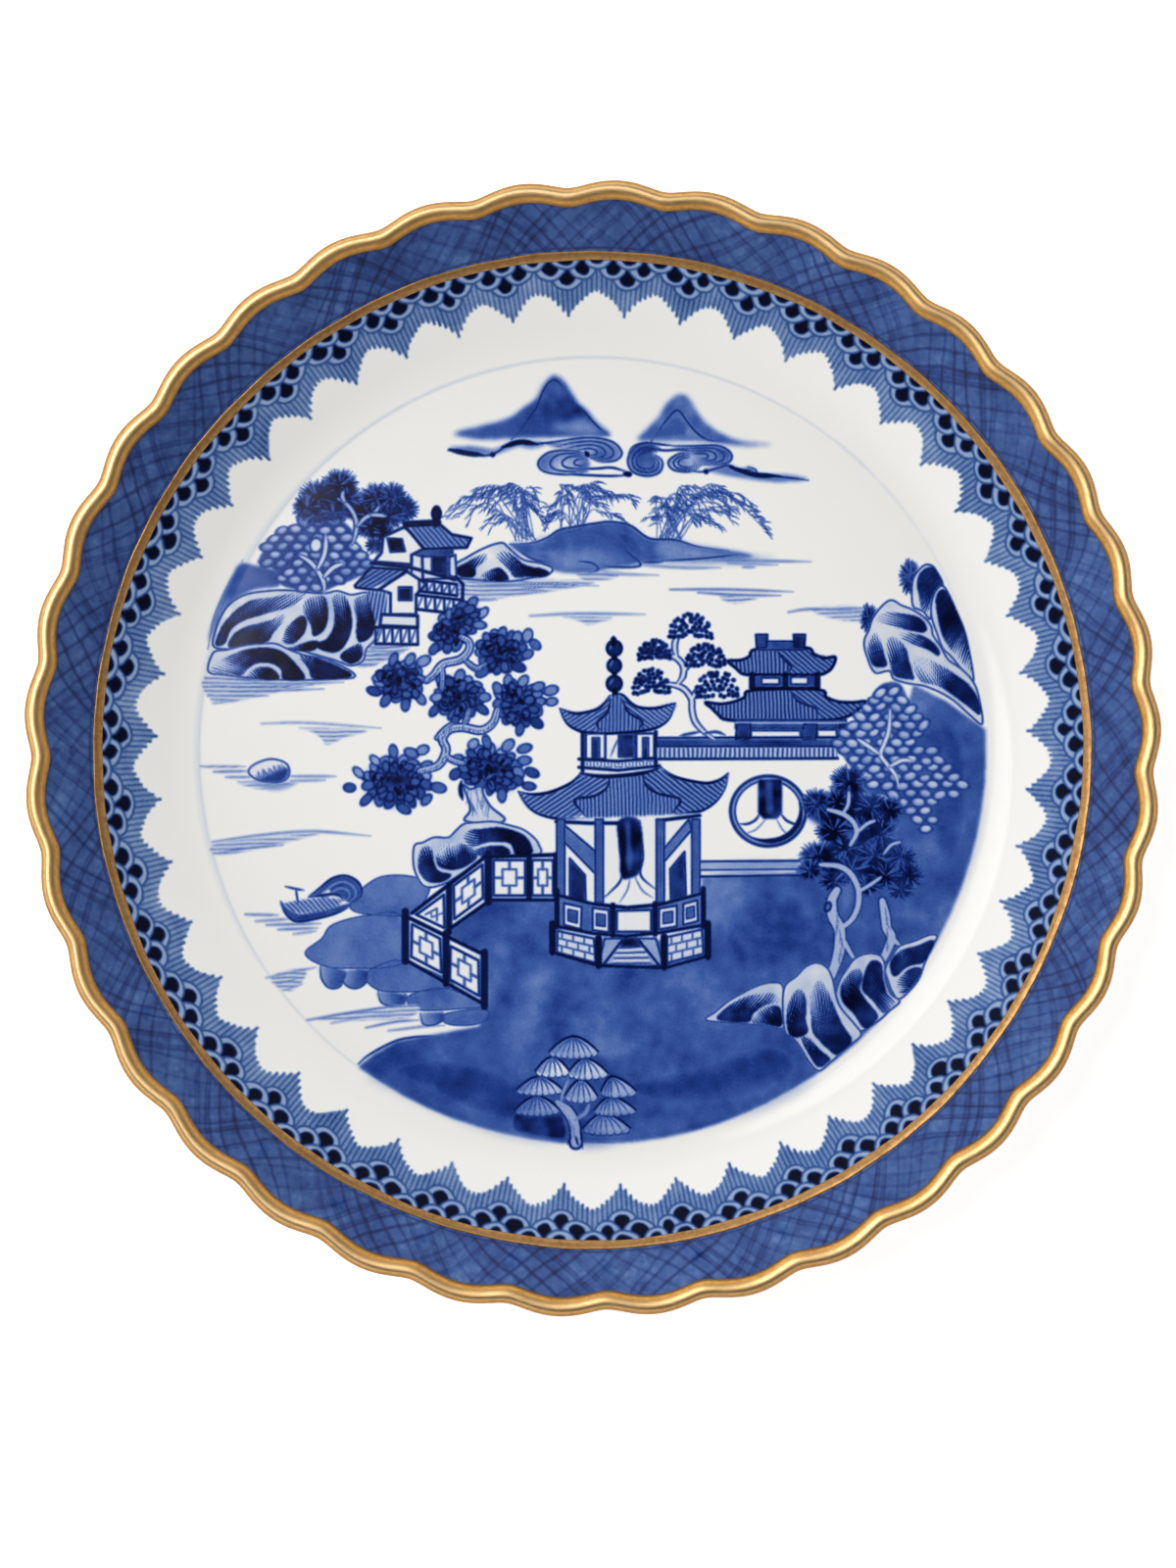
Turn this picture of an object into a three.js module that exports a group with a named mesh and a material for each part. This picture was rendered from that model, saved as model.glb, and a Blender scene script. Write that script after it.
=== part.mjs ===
// Porcelain saucer with a lobed, gilded rim.
// Millimetres, +Z up, the foot ring stands on z = 0, the middle of the well is on the Z axis.
import * as THREE from "three";

// Plan sizes, read from the photograph
const OVERALL_DIAMETER = 150; // over the gilding, across the crests of the lobes
const LOBE_COUNT = 37;
const LOBE_DEPTH = 1.0; // crest to hollow
const LOBE_SHARPNESS = 0.35; // lower values give tighter hollows between rounder lobes
const LOBE_STEPS = 6; // facets to a lobe
const FIRST_HOLLOW_DEG = 6.6; // from +X, counter-clockwise seen from above
const SIDE_WIDTH = 23; // crest of the rim to the flat floor of the well
const BORDER_WIDTH = 8.65; // crest of the rim to the outside of the inner gilt line
const BAND_WIDTH = 1.3; // inner gilt line
const BEAD_DIAMETER = 2.65; // section of the gilt rim

// The lobes were pinched by hand, so their spacing wanders: degrees for one and two waves a turn
const DRIFT_COS_1 = 0.33;
const DRIFT_SIN_1 = -2.06;
const DRIFT_COS_2 = -0.39;
const DRIFT_SIN_2 = -0.9;

// Section sizes, from what saucers of this width measure
const FOOT_INSET = 7; // edge of the well's floor to the outside of the foot ring
const FOOT_WIDTH = 2.2; // standing face
const FOOT_EDGE = 0.5; // bevel each side of the standing face
const FOOT_FLARE = 1.0; // how much thicker each side of the ring is at its root
const FOOT_HEIGHT = 3.6; // recess under the base
const WELL_THICKNESS = 3.6;
const WALL_THICKNESS = 2.9;
const LIP_THICKNESS = 1.3;
const LIP_REACH = 0.3; // how far the lip runs past the middle of the bead
const WELL_CURVE = 12; // radius of the sweep from well to wall
const WALL_SLOPE_DEG = 25;
const FLANGE_SLOPE_DEG = 42;
const BAND_THICKNESS = 0.25;
const GILT_SEAT = 0.1; // room between gilding and porcelain

const TURN_STEPS = LOBE_COUNT * LOBE_STEPS;
const CURVE_STEPS = 3;
const BEAD_STEPS = 8;

const wallSlope = THREE.MathUtils.degToRad(WALL_SLOPE_DEG);
const flangeSlope = THREE.MathUtils.degToRad(FLANGE_SLOPE_DEG);
const rimRadius = OVERALL_DIAMETER / 2;
const wellRadius = rimRadius - SIDE_WIDTH;
const wellHeight = FOOT_HEIGHT + WELL_THICKNESS;
const bandOuter = rimRadius - BORDER_WIDTH;
const bandInner = bandOuter - BAND_WIDTH;
const beadRadius = BEAD_DIAMETER / 2;
const beadMiddle = rimRadius - beadRadius - LOBE_DEPTH / 2;

// Upper face: flat well, a sweep up to the wall, the wall, then the steeper flange
const wallStart = wellRadius + WELL_CURVE * Math.sin(wallSlope);
const wallStartHeight = wellHeight + WELL_CURVE * (1 - Math.cos(wallSlope));

function wallHeight(radius) {
  return wallStartHeight + (radius - wallStart) * Math.tan(wallSlope);
}

function flangeHeight(radius) {
  return wallHeight(bandOuter) + (radius - bandOuter) * Math.tan(flangeSlope);
}

// The bead sits on the end of the lip: u runs outward along the flange, v square to it and up
const lipHalf = LIP_THICKNESS / 2;
const beadHeight = flangeHeight(beadMiddle) - lipHalf / Math.cos(flangeSlope);

function fromBead(u, v) {
  const radius = beadMiddle + u * Math.cos(flangeSlope) - v * Math.sin(flangeSlope);
  const height = beadHeight + u * Math.sin(flangeSlope) + v * Math.cos(flangeSlope);
  return new THREE.Vector2(radius, height);
}

function underFace(radius, height, slope, thickness) {
  return new THREE.Vector2(radius + thickness * Math.sin(slope), height - thickness * Math.cos(slope));
}

// Lobes: full at the rim, gone at the gilt line
const lobeStart = bandOuter;
const lobeFull = beadMiddle - 1.2 * beadRadius;

function lobeShape(turn) {
  const soft = LOBE_SHARPNESS;
  const wave = Math.sin((LOBE_COUNT * turn) / 2);
  const low = soft;
  const high = Math.sqrt(1 + soft * soft);
  return (Math.sqrt(wave * wave + soft * soft) - low) / (high - low) - 0.5;
}

function handDrift(turn) {
  const first = DRIFT_COS_1 * Math.cos(turn) + DRIFT_SIN_1 * Math.sin(turn);
  const second = DRIFT_COS_2 * Math.cos(2 * turn) + DRIFT_SIN_2 * Math.sin(2 * turn);
  return THREE.MathUtils.degToRad(FIRST_HOLLOW_DEG + first + second);
}

// Turns a closed profile about Z, then presses the lobes into whatever lies beyond the gilt line.
// Profiles are written face first and underside last; the lathe wants them the other way round.
function turned(name, profile, material) {
  const geometry = new THREE.LatheGeometry(profile.reverse(), TURN_STEPS);
  geometry.rotateX(Math.PI / 2);
  const spots = geometry.attributes.position;
  for (let i = 0; i < spots.count; i += 1) {
    const x = spots.getX(i);
    const y = spots.getY(i);
    const radius = Math.hypot(x, y);
    const turn = Math.atan2(y, x);
    const share = THREE.MathUtils.smoothstep(radius, lobeStart, lobeFull);
    const pressed = radius + share * LOBE_DEPTH * lobeShape(turn);
    const place = turn + handDrift(turn);
    spots.setXY(i, pressed * Math.cos(place), pressed * Math.sin(place));
  }
  geometry.computeVertexNormals();
  const mesh = new THREE.Mesh(geometry, material);
  mesh.name = name;
  return mesh;
}

const porcelain = new THREE.MeshStandardMaterial({ name: "porcelain", color: 0xeceae4, roughness: 0.15 });
const gilt = new THREE.MeshStandardMaterial({ name: "gilt", color: 0xc8964a, metalness: 1, roughness: 0.3 });

function bodyProfile() {
  const points = [new THREE.Vector2(0, wellHeight)];
  for (let i = 0; i <= CURVE_STEPS; i += 1) {
    const angle = (wallSlope * i) / CURVE_STEPS;
    const radius = wellRadius + WELL_CURVE * Math.sin(angle);
    points.push(new THREE.Vector2(radius, wellHeight + WELL_CURVE * (1 - Math.cos(angle))));
  }
  points.push(new THREE.Vector2(bandInner, wallHeight(bandInner)));
  points.push(new THREE.Vector2(bandOuter, wallHeight(bandOuter)));
  points.push(new THREE.Vector2(lobeFull, flangeHeight(lobeFull)));
  points.push(fromBead(LIP_REACH, lipHalf));
  points.push(fromBead(LIP_REACH, -lipHalf));
  points.push(fromBead(-1.5 * beadRadius, -lipHalf));
  const bend = (wallSlope + flangeSlope) / 2;
  points.push(underFace(bandOuter, wallHeight(bandOuter), bend, WALL_THICKNESS));
  points.push(underFace(wallStart, wallStartHeight, wallSlope, WALL_THICKNESS));
  const footOuter = wellRadius - FOOT_INSET;
  const footInner = footOuter - FOOT_WIDTH;
  points.push(new THREE.Vector2(footOuter + FOOT_EDGE + FOOT_FLARE, FOOT_HEIGHT));
  points.push(new THREE.Vector2(footOuter + FOOT_EDGE, FOOT_EDGE));
  points.push(new THREE.Vector2(footOuter, 0));
  points.push(new THREE.Vector2(footInner, 0));
  points.push(new THREE.Vector2(footInner - FOOT_EDGE, FOOT_EDGE));
  points.push(new THREE.Vector2(footInner - FOOT_EDGE - FOOT_FLARE, FOOT_HEIGHT));
  points.push(new THREE.Vector2(0, FOOT_HEIGHT));
  return points;
}

// A round bead with a slot along its inner side for the lip
function rimProfile() {
  const slotHalf = lipHalf + GILT_SEAT;
  const opening = Math.asin(slotHalf / beadRadius);
  const points = [];
  for (let i = 0; i <= BEAD_STEPS; i += 1) {
    const angle = Math.PI - opening - (2 * (Math.PI - opening) * i) / BEAD_STEPS;
    points.push(fromBead(beadRadius * Math.cos(angle), beadRadius * Math.sin(angle)));
  }
  points.push(fromBead(LIP_REACH + GILT_SEAT, -slotHalf));
  points.push(fromBead(LIP_REACH + GILT_SEAT, slotHalf));
  points.push(points[0].clone());
  return points;
}

// A flat gilt ring lying on the wall, just below the bend into the flange
function bandProfile() {
  const points = [];
  for (const [radius, lift] of [
    [bandInner, GILT_SEAT],
    [bandInner, GILT_SEAT + BAND_THICKNESS],
    [bandOuter, GILT_SEAT + BAND_THICKNESS],
    [bandOuter, GILT_SEAT],
  ]) {
    points.push(underFace(radius, wallHeight(radius), wallSlope, -lift));
  }
  points.push(points[0].clone());
  return points;
}

const saucer = new THREE.Group();
saucer.name = "saucer";
saucer.add(turned("porcelain_body", bodyProfile(), porcelain));
saucer.add(turned("gilt_rim", rimProfile(), gilt));
saucer.add(turned("gilt_band", bandProfile(), gilt));

export default saucer;
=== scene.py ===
import math

import bpy
import numpy as np
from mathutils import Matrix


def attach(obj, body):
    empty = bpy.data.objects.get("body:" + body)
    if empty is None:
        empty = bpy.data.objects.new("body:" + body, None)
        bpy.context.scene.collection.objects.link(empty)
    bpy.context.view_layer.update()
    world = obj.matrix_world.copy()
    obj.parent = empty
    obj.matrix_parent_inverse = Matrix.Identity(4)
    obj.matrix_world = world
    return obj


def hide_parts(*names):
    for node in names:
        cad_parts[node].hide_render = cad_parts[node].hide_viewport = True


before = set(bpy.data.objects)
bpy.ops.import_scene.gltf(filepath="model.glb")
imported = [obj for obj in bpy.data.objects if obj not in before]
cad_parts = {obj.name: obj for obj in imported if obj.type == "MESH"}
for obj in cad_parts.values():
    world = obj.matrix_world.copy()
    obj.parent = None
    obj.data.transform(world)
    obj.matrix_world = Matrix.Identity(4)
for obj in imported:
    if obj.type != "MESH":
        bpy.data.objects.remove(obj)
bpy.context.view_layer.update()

# Cobalt painting, brushes
# The blue is cobalt brushed on the fired white body before glazing: thin outlines first, then
# watery washes. Tone 0 is bare porcelain and 1 is cobalt laid so thick that it turns almost black.
CELL = 0.1
REACH = 76.0
SIDE = int(2 * REACH / CELL) + 1
tone = np.zeros((SIDE, SIDE), np.float32)
ruler = np.linspace(-REACH, REACH, SIDE)
luck = np.random.default_rng(37)
HAIR_LEAN = 12
NEEDLE_GAP = 0.15
NEEDLE_WIDTH = 0.15
BUSH_DEPTH = 0.86
LEAF_RIM = 0.18
PEBBLE_LINE = 0.72
ROCK_HAIR = 0.27


def soften(mask, soft):
    reach = int(soft / CELL)
    for axis in (0, 1, 0, 1):
        if reach > 0:
            padding = [(0, 0), (0, 0)]
            padding[axis] = (reach + 1, reach)
            total = np.cumsum(np.pad(mask, padding), axis)
            size = mask.shape[axis]
            after = np.take(total, np.arange(2 * reach + 1, 2 * reach + 1 + size), axis)
            before = np.take(total, np.arange(size), axis)
            mask = (after - before) / (2 * reach + 1)
    return mask


def ripple(soft):
    field = soften(luck.normal(size=(SIDE, SIDE)), soft)
    return (field / field.std()).astype(np.float32)


pooling = 0.6 * ripple(1.6) + 0.4 * ripple(0.5)


def patch(low_x, high_x, low_y, high_y):
    first = [min(max(int((v + REACH) / CELL), 0), SIDE - 2) for v in (low_x, low_y)]
    last = [min(max(int((v + REACH) / CELL) + 2, 1), SIDE) for v in (high_x, high_y)]
    rows = slice(first[1], last[1])
    cols = slice(first[0], last[0])
    return rows, cols, ruler[None, cols], ruler[rows, None]


def lay(rows, cols, mask, depth, cover):
    spot = tone[rows, cols]
    if cover:
        spot += (depth - spot) * mask
    else:
        np.maximum(spot, depth * mask, out=spot)


def bend(points, closed=False, step=0.4):
    knots = np.array(points, float)
    if len(knots) == 2:
        share = np.linspace(0, 1, int(np.hypot(*(knots[1] - knots[0])) / step) + 2)[:, None]
        return knots[0] + (knots[1] - knots[0]) * share
    if closed:
        knots = np.vstack([knots[-1], knots, knots[0], knots[1]])
    else:
        knots = np.vstack([2 * knots[0] - knots[1], knots, 2 * knots[-1] - knots[-2]])
    pieces = []
    for a, b, c, d in zip(knots, knots[1:], knots[2:], knots[3:]):
        count = int(np.hypot(*(c - b)) / step) + 1
        t = np.linspace(0, 1, count, endpoint=False)[:, None]
        swing = (2 * a - 5 * b + 4 * c - d) * t**2 + (3 * b - a - 3 * c + d) * t**3
        pieces.append(b + 0.5 * ((c - a) * t + swing))
    pieces.append(knots[-2:-1])
    return np.vstack(pieces)


# One brush line: thinner at its ends by the two shares in taper
def stroke(points, width, depth, cover=False, closed=False, taper=(0.5, 0.3), soft=0.22):
    line = bend(points, closed)
    along = np.linspace(0, 1, len(line))
    ends = (1, 1) if closed else taper
    half = 0.5 * width * np.interp(along, [0, 0.25, 0.75, 1], [ends[0], 1, 1, ends[1]])
    for (ax, ay), (bx, by), start, end in zip(line, line[1:], half, half[1:]):
        edge = max(start, end) + soft
        spread = (min(ax, bx) - edge, max(ax, bx) + edge, min(ay, by) - edge, max(ay, by) + edge)
        rows, cols, x, y = patch(*spread)
        run = (bx - ax) ** 2 + (by - ay) ** 2 + 1e-9
        t = np.clip(((x - ax) * (bx - ax) + (y - ay) * (by - ay)) / run, 0, 1)
        gap = np.hypot(x - ax - t * (bx - ax), y - ay - t * (by - ay)) - start - t * (end - start)
        lay(rows, cols, np.clip(0.5 - gap / soft, 0, 1), depth, cover)


def strokes(lines, width, depth, **manner):
    for points in lines:
        stroke(points, width, depth, **manner)


def inside(points, bent, margin):
    line = bend(points, True) if bent else np.array(points, float)
    low = line.min(0) - margin
    high = line.max(0) + margin
    rows, cols, x, y = patch(low[0], high[0], low[1], high[1])
    hit = np.zeros((y.shape[0], x.shape[1]), bool)
    for (ax, ay), (bx, by) in zip(line, np.roll(line, -1, 0)):
        if ay != by:
            hit ^= ((ay > y) != (by > y)) & (x < (bx - ax) * (y - ay) / (by - ay) + ax)
    return rows, cols, x, y, hit.astype(np.float32)


# A watery patch. far is (x, y, depth): the wash runs from its first point's depth to this one
def wash(points, depth, soft=0.25, cover=False, bent=True, far=None, mottle=0.1):
    rows, cols, x, y, mask = inside(points, bent, 3 * soft)
    shade = depth
    if far:
        ax, ay = points[0]
        run = (far[0] - ax) ** 2 + (far[1] - ay) ** 2
        t = np.clip(((x - ax) * (far[0] - ax) + (y - ay) * (far[1] - ay)) / run, 0, 1)
        shade = depth + (far[2] - depth) * t
    lay(rows, cols, soften(mask, soft), shade * (1 + mottle * pooling[rows, cols]), cover)


# A patch of parallel lines, for tiles, planks and reeds
def hatch(points, angle, gap, thick, depth, ground, bent=True):
    rows, cols, x, y, mask = inside(points, bent, 0.4)
    turn = math.radians(angle)
    across = y * math.cos(turn) - x * math.sin(turn) + 0.06 * pooling[rows, cols]
    away = np.abs((across / gap) % 1 - 0.5) * gap
    ink = np.clip(0.5 + (thick / 2 - away) / 0.2, 0, 1)
    lay(rows, cols, soften(mask, 0.1), ground + (depth - ground) * ink, True)


# A small oval with a darker rim, for leaves, pebbles, panes and knots
def oval(x0, y0, angle, long, wide, inner, outer, rim=0.24):
    rows, cols, x, y = patch(x0 - long, x0 + long, y0 - long, y0 + long)
    turn = math.radians(angle)
    u = ((x - x0) * math.cos(turn) + (y - y0) * math.sin(turn)) / (long / 2)
    v = ((y - y0) * math.cos(turn) - (x - x0) * math.sin(turn)) / (wide / 2)
    gap = (np.hypot(u, v) - 1) * min(long, wide) / 2
    shade = outer + (inner - outer) * np.clip(0.5 - (gap + rim) / 0.24, 0, 1)
    lay(rows, cols, np.clip(0.5 - gap / 0.2, 0, 1), shade, True)


# Short hairs that start along a line and lean one way, for shading rock and bark
def hairs(points, angle, length, gap, depth, width=0.16):
    for x, y in bend(points, step=gap):
        turn = math.radians(angle + luck.normal() * HAIR_LEAN)
        size = length * luck.uniform(0.6, 1.2)
        tip = (x + size * math.cos(turn), y + size * math.sin(turn))
        stroke([(x, y), tip], width, depth * luck.uniform(0.85, 1.05), taper=(1, 0.2))


# A round clump of pine needles: a heart that runs together, a crisp fringe, a few paler needles
def needles(x, y, wide, tall, depth=0.93):
    ring = [(x + wide * 0.42 * math.cos(t), y + tall * 0.42 * math.sin(t)) for t in np.arange(0, 6.2, 0.7)]
    wash(ring, depth - 0.1, soft=0.3, mottle=0.16)
    count = int(math.pi * (wide + tall) / 2 / NEEDLE_GAP)
    for turn in np.linspace(0, 2 * math.pi, count, endpoint=False):
        turn += luck.normal() * 0.12
        start = luck.uniform(0.06, 0.3)
        end = 0.5 * luck.uniform(0.86, 1.16)
        paler = luck.random() < 0.15
        shade = luck.uniform(0.46, 0.62) if paler else depth * luck.uniform(0.92, 1.08)
        spots = [(x + wide * far * math.cos(turn), y + tall * far * math.sin(turn)) for far in (start, end)]
        stroke(spots, NEEDLE_WIDTH, shade, cover=paler, taper=(1, 0.4), soft=0.16)


# The same outline drawn nearer to its middle
def pulled(points, middle, share):
    middle = np.asarray(middle)
    return [tuple(middle + share * (spot - middle)) for spot in np.asarray(points, float)]


# A leafy bush: outlined leaves that point outward, paler above, round a heart that runs together
def bush(outline, fringe):
    edge = bend(outline, True, 1.7)
    middle = edge.mean(0)
    wash(pulled(edge, middle, 0.98), 0.7, soft=0.5, mottle=0.2)
    for x, y in pulled(edge, middle, 0.9) + list(fringe):
        turn = math.degrees(math.atan2(y - middle[1], x - middle[0])) + luck.normal() * 28
        fill = 0.44 if y > middle[1] - 0.4 else 0.6
        long = luck.uniform(1.8, 2.3)
        wide = luck.uniform(1.2, 1.55)
        oval(x, y, turn, long, wide, fill + luck.normal() * 0.06, 0.84, rim=LEAF_RIM)
    for spot in edge:
        x, y = middle + 0.66 * (spot - middle) + luck.normal(size=2) * 0.3
        turn = math.degrees(math.atan2(y - middle[1], x - middle[0])) + luck.normal() * 30
        long = luck.uniform(1.5, 2.0)
        wide = luck.uniform(1.0, 1.4)
        oval(x, y, turn, long, wide, luck.uniform(0.56, 0.72), 0.88, rim=LEAF_RIM)
    wash(pulled(edge, middle, 0.7), BUSH_DEPTH - 0.1, soft=0.8, mottle=0.2)
    for _ in range(2 * len(edge)):
        x, y = middle + luck.uniform(0.0, 0.85) * (edge[luck.integers(len(edge))] - middle)
        turn = luck.uniform(0, math.pi)
        slip = np.array([math.cos(turn), math.sin(turn)]) * luck.uniform(0.2, 0.7)
        spots = [(x - slip[0], y - slip[1]), (x + slip[0], y + slip[1])]
        width = luck.uniform(0.4, 1.0)
        stroke(spots, width, luck.uniform(0.8, BUSH_DEPTH + 0.08), taper=(0.5, 0.4), soft=0.5)


# A tree drawn as heaped pebbles, each pale on top and shaded below
def pebbles(outline, long, wide, ground, pale):
    wash(outline, ground, soft=0.15, mottle=0.1)
    _, _, x, y, mask = inside(outline, True, 0.5)
    low_x = x.min()
    level = y.min()
    odd = 0
    while level < y.max():
        for place in np.arange(low_x + odd * long * 0.46, x.max(), long * 0.92):
            px = place + luck.normal() * 0.14
            py = level + luck.normal() * 0.1
            row = min(max(int((py - y.min()) / CELL), 0), mask.shape[0] - 1)
            col = min(max(int((px - low_x) / CELL), 0), mask.shape[1] - 1)
            if mask[row, col] > 0.5:
                spin = luck.normal() * 16
                size = luck.uniform(0.92, 1.12)
                shade = pale * luck.uniform(0.9, 1.7)
                oval(px, py, spin, long * size, wide * size, shade + 0.12, PEBBLE_LINE)
                oval(px + 0.08, py + 0.14, spin, long * 0.55, wide * 0.5, shade, shade + 0.06, rim=0.1)
        level += wide * 0.86
        odd = 1 - odd


# A rock: left pale, with hollows (shape, dark end, pale end) whose blue thins out in pointed hairs
def rock(outline, hollows, pale, dark=0.95, edge=0.24, solid=0.74):
    wash(outline, pale, soft=0.12, cover=True, mottle=0.3)
    for shape, (dark_x, dark_y), (pale_x, pale_y) in hollows:
        rows, cols, x, y, mask = inside(shape, True, 0.6)
        reach = math.hypot(pale_x - dark_x, pale_y - dark_y)
        run_x = (pale_x - dark_x) / reach
        run_y = (pale_y - dark_y) / reach
        along = ((x - dark_x) * run_x + (y - dark_y) * run_y) / reach
        across = (y - dark_y) * run_x - (x - dark_x) * run_y
        hair = across / ROCK_HAIR / (1 + 0.3 * np.clip(along, 0, 1)) + 0.3 * pooling[rows, cols]
        which = np.round(hair)
        length = along + 0.16 * np.sin(which * 12.9) + 0.1 * np.sin(which * 5.3)
        ink = np.clip(0.5 + (0.7 * np.clip(1.08 - length, 0, 1) - np.abs(hair - which)) / 0.3, 0, 1)
        full = np.maximum(ink, np.clip(solid - along, 0, 1))
        furrow = 1 - 0.16 * np.clip(2.4 * np.abs(hair - which) - 0.4, 0, 1)
        shade = pale + (dark * furrow * (1 + 0.07 * pooling[rows, cols]) - pale) * full
        lay(rows, cols, np.clip(1.7 * soften(mask, 0.16), 0, 1), shade, True)
    stroke(outline, edge, 0.8, closed=True)


# Scale and spearhead border
# A hand-painted band on the white wall: fish scales with black hearts hang from the gilt line in
# three rows, and a comb of fine radial lines below them ends in a ring of spearheads.
SPEARS = 47
SPEAR_TURN = 2.94
SPEAR_CURVE = 1.65
BAND_IN = 65.05
BAND_OUT = 66.35
VALLEY = 60.8
TIP = 57.6
COMB = 12
COMB_HALF = 0.28
SCALE_HALF = 2.15
SCALE_DEEP = 2.0
HEART_HALF = 0.98
HEART_LEVEL = 1.7
ROWS = ((61.0, 0.0, 1, 62.5), (62.35, 0.25, 2, 63.5), (63.75, 0.0, 2, 63.5))

gy, gx = np.meshgrid(ruler, ruler, indexing="ij")
far_out = np.hypot(gx, gy).astype(np.float32)
turned = np.degrees(np.arctan2(gy, gx)).astype(np.float32)
swing = np.radians(turned)
wander = 0.12 * np.cos(swing) - 2.18 * np.sin(swing) - 0.61 * np.cos(2 * swing) + 1.14 * np.sin(2 * swing)
even = (turned - SPEAR_TURN - wander) / 360 * SPEARS
unit = even + 0.025 * pooling


# How far the comb's end draws back from the tip, 0 at a tip's middle and most in the valley
def drawn_back(side):
    return (VALLEY - TIP) * (1 - np.clip(1 - side, 0, 1) ** SPEAR_CURVE)


comb_line = even * COMB
comb_side = np.abs(np.round(comb_line) / COMB - np.round(even)) * 2
ragged = 0.1 * np.sin(np.round(comb_line) * 7.7)
comb_end = TIP + drawn_back(comb_side) + ragged
comb_ink = np.clip(0.5 + (COMB_HALF - np.abs(comb_line - np.round(comb_line))) / 0.3, 0, 1)
ground_end = TIP + 0.25 + drawn_back(np.abs(unit - np.round(unit)) * 2)
on_wall = (far_out < BAND_IN + 0.4).astype(np.float32)
comb_ground = on_wall * np.clip(0.5 + (far_out - ground_end) / 0.3, 0, 1)
tone = np.maximum(tone, (0.36 + 0.03 * pooling) * comb_ground)
ink_depth = 0.56 + 0.05 * pooling
tone = np.maximum(tone, ink_depth * comb_ink * on_wall * np.clip(0.5 + (far_out - comb_end) / 0.25, 0, 1))
for low, shift, often, radius in ROWS:
    place = unit * often + shift * often
    across = (place - np.round(place)) / often * math.radians(360 / SPEARS) * radius
    uneven = 1 + 0.07 * np.sin(np.round(place) * 3.7 + low)
    down = np.minimum(far_out - low - SCALE_DEEP, 0)
    ring = np.hypot(across / SCALE_HALF, down / SCALE_DEEP)
    scale = np.clip(0.5 - (ring - 1) * 2.1 / 0.2, 0, 1) * on_wall
    pale = np.interp(ring, [0.5, 0.56, 0.82, 0.9, 1.0], [0.56, 0.3, 0.27, 0.56, 0.66])
    above = far_out - low - HEART_LEVEL
    drop = np.hypot(across / HEART_HALF, above / HEART_HALF) / uneven
    stem = np.abs(across) / HEART_HALF / uneven + 0.25 * above
    heart = np.where(far_out > low + HEART_LEVEL, stem, drop)
    dark = np.clip(0.5 - (heart - 1) * 1.1 / 0.34, 0, 1)
    shade = (pale + (1.0 - pale) * dark).astype(np.float32)
    tone += (shade - tone) * scale

# Trellis flange
# Outside the gilt line the flange is flooded with a mid blue and crossed with slanting brush lines
# that were drawn free-hand, some of them twice, so that they pool darker where they meet.
FLANGE_BLUE = 0.575
FLANGE_WIDE = 5.6
LATTICE = 156
TRAVEL = 2.15
LINE_HALF = 0.11
ECHO_HALF = 0.1
ECHO_ASIDE = 0.24

flange = np.clip(0.5 + (far_out - BAND_OUT + 0.2) / 0.2, 0, 1)
flood = FLANGE_BLUE * (1 + 0.07 * pooling + 0.04 * ripple(0.3))
tone += (flood - tone) * flange
climb = (far_out - BAND_OUT) / FLANGE_WIDE
drawn = np.zeros_like(tone)
for lean, start, wiggle in ((1.0, 0.0, 3.1), (-1.05, 0.35, 5.3)):
    spot = turned / 360 * LATTICE + lean * climb * TRAVEL + start
    spot += 0.5 * np.sin(swing * 9 + wiggle)
    spot += 0.3 * np.sin(swing * 23 + wiggle)
    spot += 0.04 * pooling
    which = np.round(spot)
    offset = 0.2 * np.sin(which * 12.9 * wiggle) + 0.2 * np.sin(which * 4.7 + wiggle) * climb
    main = np.abs(spot - which - offset)
    force = 0.7 + 0.3 * np.sin(which * 7.1 + wiggle)
    drawn += force * np.clip(1.35 - main / LINE_HALF, 0, 1)
    echo = np.abs(spot - which - offset - ECHO_ASIDE * np.sign(np.sin(which * 3.7 + wiggle)))
    twice = np.clip(2.4 * np.sin(which * 5.3 + wiggle) - 0.8, 0, 1)
    drawn += 0.7 * twice * np.clip(1.3 - echo / ECHO_HALF, 0, 1)
spread = soften(drawn, 0.7)
tone += (0.4 * np.clip(drawn, 0, 1.2) + 0.1 * spread) * flange * (1 - tone)
edge_line = np.exp(-(((far_out - BAND_OUT - 0.3) / 0.16) ** 2))
tone = np.maximum(tone, 0.85 * edge_line)
tone = tone.astype(np.float32)

# Blue ground, shore and water
# The foreground of the landscape is one broad watery wash that runs out to the edge of the well,
# with paler stepped banks at the left and thin streaks of water on the white beyond them.
WELL_EDGE = 52.2


def rim_arc(start, end, radius=WELL_EDGE):
    return [
        (radius * math.cos(math.radians(a)), radius * math.sin(math.radians(a)))
        for a in np.linspace(start, end, int(abs(end - start) / 4) + 2)
    ]


ground_edge = [(42.6, 8.7), (47, 6.4)] + rim_arc(3, -126.5)
ground_edge += [(-29, -40.4), (-26, -38.6), (-21, -37.7), (-15, -36.6), (-13.8, -33), (-14.2, -27.4),
                (-19.8, -24.5), (-13.8, -19.8), (-5, -19.8), (-4, -24), (5, -26), (14, -24),
                (14.6, -16.9), (27, -16.2), (33, -12), (40, -6), (43, 0), (41.5, 5)]
wash(ground_edge, 0.6, soft=0.2, bent=False, mottle=0.085)
wash([(-12, -22), (-4, -29), (4, -33), (10, -40), (2, -46), (-8, -40), (-13, -32)],
     0.66, soft=2.0, mottle=0.08)
wash([(-29, -42), (-20, -40), (-10, -43), (-4, -50), (-12, -50), (-24, -45)], 0.69, soft=1.2, mottle=0.06)
wash([(2, -44), (14, -41), (24, -38), (28, -43), (18, -47.5), (6, -47)], 0.72, soft=1.4, mottle=0.07)
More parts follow.
